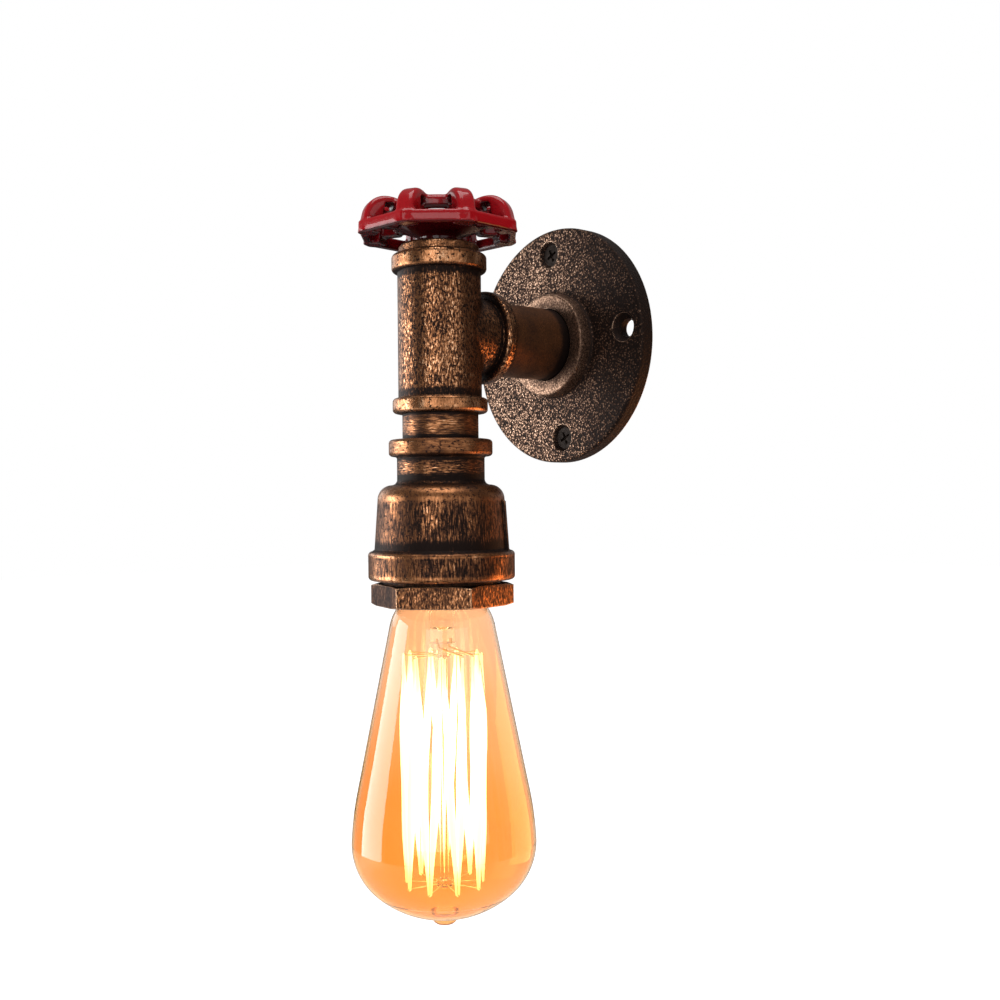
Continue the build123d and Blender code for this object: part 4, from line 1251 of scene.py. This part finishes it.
@dataclass
class Studio:
    """Camera, soft lights, dark cards, floor and surroundings; lengths in metres, angles in degrees."""

    eye: Point = (0.3249, -0.3182, -0.0580)
    yaw: float = 48.81
    roll: float = -0.534
    lens: float = 42.9  # mm
    sensor: float = 36.0  # mm
    sight: Span = (0.01, 50.0)
    aim: Point = (0.0, -0.055, -0.07)
    floor_level: float = -0.45
    floor_size: Span = (12.0, 12.0)
    floor_shade: float = 0.5
    floor_glow: float = 1.0
    ambient: float = 0.27
    lights: tuple[Softbox, ...] = (
        Softbox("key_front", Stand(-15.0, 6.0, 1.3), (0.8, 0.76), 6.0),
        Softbox("fill_right", Stand(36.0, 6.0, 1.3), (1.1, 0.76), 3.6),
        Softbox("strip_left", Stand(-97.0, -4.5, 0.9), (0.62, 0.72), 9.4),
        Softbox("strip_far_left", Stand(-134.0, 14.0, 0.9), (0.4, 0.36), 0.7),
        Softbox("overhead", Stand(10.0, 78.0, 1.2), (0.9, 0.9), 12.0),
        Softbox("backdrop_light", Stand(180.0, 0.0, 1.5), (2.6, 2.2), 1.5),
        Softbox("bulb_glow_side", Stand(112.0, -20.0, 0.42), (0.32, 0.26), 1.05, (1.0, 0.38, 0.09)),
        Softbox("bulb_glow_low", Stand(84.0, -40.0, 0.5), (0.3, 0.3), 0.35, (1.0, 0.4, 0.1)),
    )
    cards: tuple[DarkCard, ...] = (
        DarkCard("card_left", Stand(-56.5, 0.0, 0.8), (0.44, 1.3), 0.01),
        DarkCard("card_right", Stand(84.0, 0.0, 1.0), (0.5, 1.3), 0.02),
        DarkCard("card_back", Stand(180.0, -15.0, 1.2), (1.5, 0.8), 0.02),
    )

    def level_axes(self) -> tuple[Vector, Vector]:
        """Level directions of the camera.

        Returns:
            Its right and its view direction.
        """
        yaw = math.radians(self.yaw)
        return Vector((math.cos(yaw), math.sin(yaw), 0.0)), Vector((-math.sin(yaw), math.cos(yaw), 0.0))

    def facing(self, stand: Stand) -> Matrix:
        """Placement that looks at the lamp.

        Args:
            stand: where the thing stands.

        Returns:
            The world matrix.
        """
        right, ahead = self.level_axes()
        turn, rise = math.radians(stand.azimuth), math.radians(stand.elevation)
        level = right * math.sin(turn) - ahead * math.cos(turn)
        spot = Vector(self.aim) + (level * math.cos(rise) + Vector((0, 0, math.sin(rise)))) * stand.distance
        look = (Vector(self.aim) - spot).to_track_quat("-Z", "Y")
        return Matrix.Translation(spot) @ look.to_matrix().to_4x4()

    def camera(self) -> None:
        """Camera at the photograph's place."""
        roll = math.radians(self.roll)
        right, ahead = self.level_axes()
        up = Vector((0.0, 0.0, 1.0))
        side = right * math.cos(roll) + up * math.sin(roll)
        top = up * math.cos(roll) - right * math.sin(roll)
        data = bpy.data.cameras.new("camera")
        data.sensor_fit = "HORIZONTAL"
        data.sensor_width = self.sensor
        data.lens = self.lens
        data.clip_start, data.clip_end = self.sight
        camera = bpy.data.objects.new("camera", data)
        turned = Matrix((side, top, -ahead)).transposed().to_4x4()
        camera.matrix_world = Matrix.Translation(Vector(self.eye)) @ turned
        bpy.context.scene.collection.objects.link(camera)
        bpy.context.scene.camera = camera

    def hang(self, softbox: Softbox) -> None:
        """Hang one soft light.

        Args:
            softbox: the light.
        """
        data = bpy.data.lights.new(softbox.name, "AREA")
        data.shape = "RECTANGLE"
        data.size, data.size_y = softbox.size
        data.energy = softbox.power
        data.color = softbox.colour
        light = bpy.data.objects.new(softbox.name, data)
        light.matrix_world = self.facing(softbox.stand)
        light.visible_camera = False
        light.visible_transmission = False
        bpy.context.scene.collection.objects.link(light)

    def place(self, dark: DarkCard) -> None:
        """Place one dark card.

        Args:
            dark: the card.
        """
        sheet = ShaderSheet(dark.name + "_cloth")
        sheet.feed("Base Color", (dark.shade, dark.shade, dark.shade, 1.0))
        sheet.feed("Roughness", 1.0)
        card = flat_sheet(dark.name, dark.size, 0.0, sheet.material)
        card.matrix_world = self.facing(dark.stand)
        card.visible_camera = False
        card.visible_diffuse = False
        card.visible_transmission = False
        card.visible_shadow = False

    def floor(self) -> None:
        """Pale floor well below the hanging bulb, white to the camera."""
        sheet = ShaderSheet("floor_white")
        sheet.feed("Base Color", (self.floor_shade, self.floor_shade, self.floor_shade, 1.0))
        sheet.feed("Roughness", 0.9)
        glow = sheet.nodes.new("ShaderNodeEmission")
        path = sheet.nodes.new("ShaderNodeLightPath")
        seen = sheet.number("MAXIMUM", path.outputs["Is Camera Ray"], path.outputs["Is Transmission Ray"])
        sheet.put(sheet.number("MULTIPLY", seen, self.floor_glow), glow.inputs["Strength"])
        both = sheet.nodes.new("ShaderNodeAddShader")
        sheet.links.new(sheet.shader.outputs[0], both.inputs[0])
        sheet.links.new(glow.outputs[0], both.inputs[1])
        sheet.links.new(both.outputs[0], sheet.output.inputs[0])
        ground = flat_sheet("floor", self.floor_size, self.floor_level, sheet.material)

    def surroundings(self) -> None:
        """White background with a calmer ambient light."""
        world = bpy.data.worlds.new("studio")
        world.use_nodes = True
        nodes, links = world.node_tree.nodes, world.node_tree.links
        nodes.clear()
        output = nodes.new("ShaderNodeOutputWorld")
        shade = nodes.new("ShaderNodeBackground")
        path = nodes.new("ShaderNodeLightPath")
        shade.inputs["Color"].default_value = (1.0, 1.0, 1.0, 1.0)
        seen = nodes.new("ShaderNodeMath")
        seen.operation = "MAXIMUM"
        links.new(path.outputs["Is Camera Ray"], seen.inputs[0])
        links.new(path.outputs["Is Transmission Ray"], seen.inputs[1])
        strength = nodes.new("ShaderNodeMapRange")
        strength.inputs["To Min"].default_value = self.ambient
        strength.inputs["To Max"].default_value = 1.0
        links.new(seen.outputs[0], strength.inputs["Value"])
        links.new(strength.outputs["Result"], shade.inputs["Strength"])
        links.new(shade.outputs[0], output.inputs[0])
        bpy.context.scene.world = world

    def build(self) -> None:
        """Set the studio up."""
        self.camera()
        self.floor()
        self.surroundings()
        for softbox in self.lights:
            self.hang(softbox)
        for dark in self.cards:
            self.place(dark)
        bpy.context.scene.view_settings.view_transform = "Standard"
        log.info("studio is up")


def main() -> None:
    """Build every sub-assembly in order."""
    logging.basicConfig(level=logging.INFO, format="%(name)s: %(message)s")
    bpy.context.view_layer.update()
    for part in (Studio(), WallMount(), PipeRun(), ValveTop(), BellGroup(), Lampholder(), Wiring(),
                 FilamentBulb()):
        part.build()
        log.info("built %s", type(part).__name__)


if __name__ == "__main__":
    main()
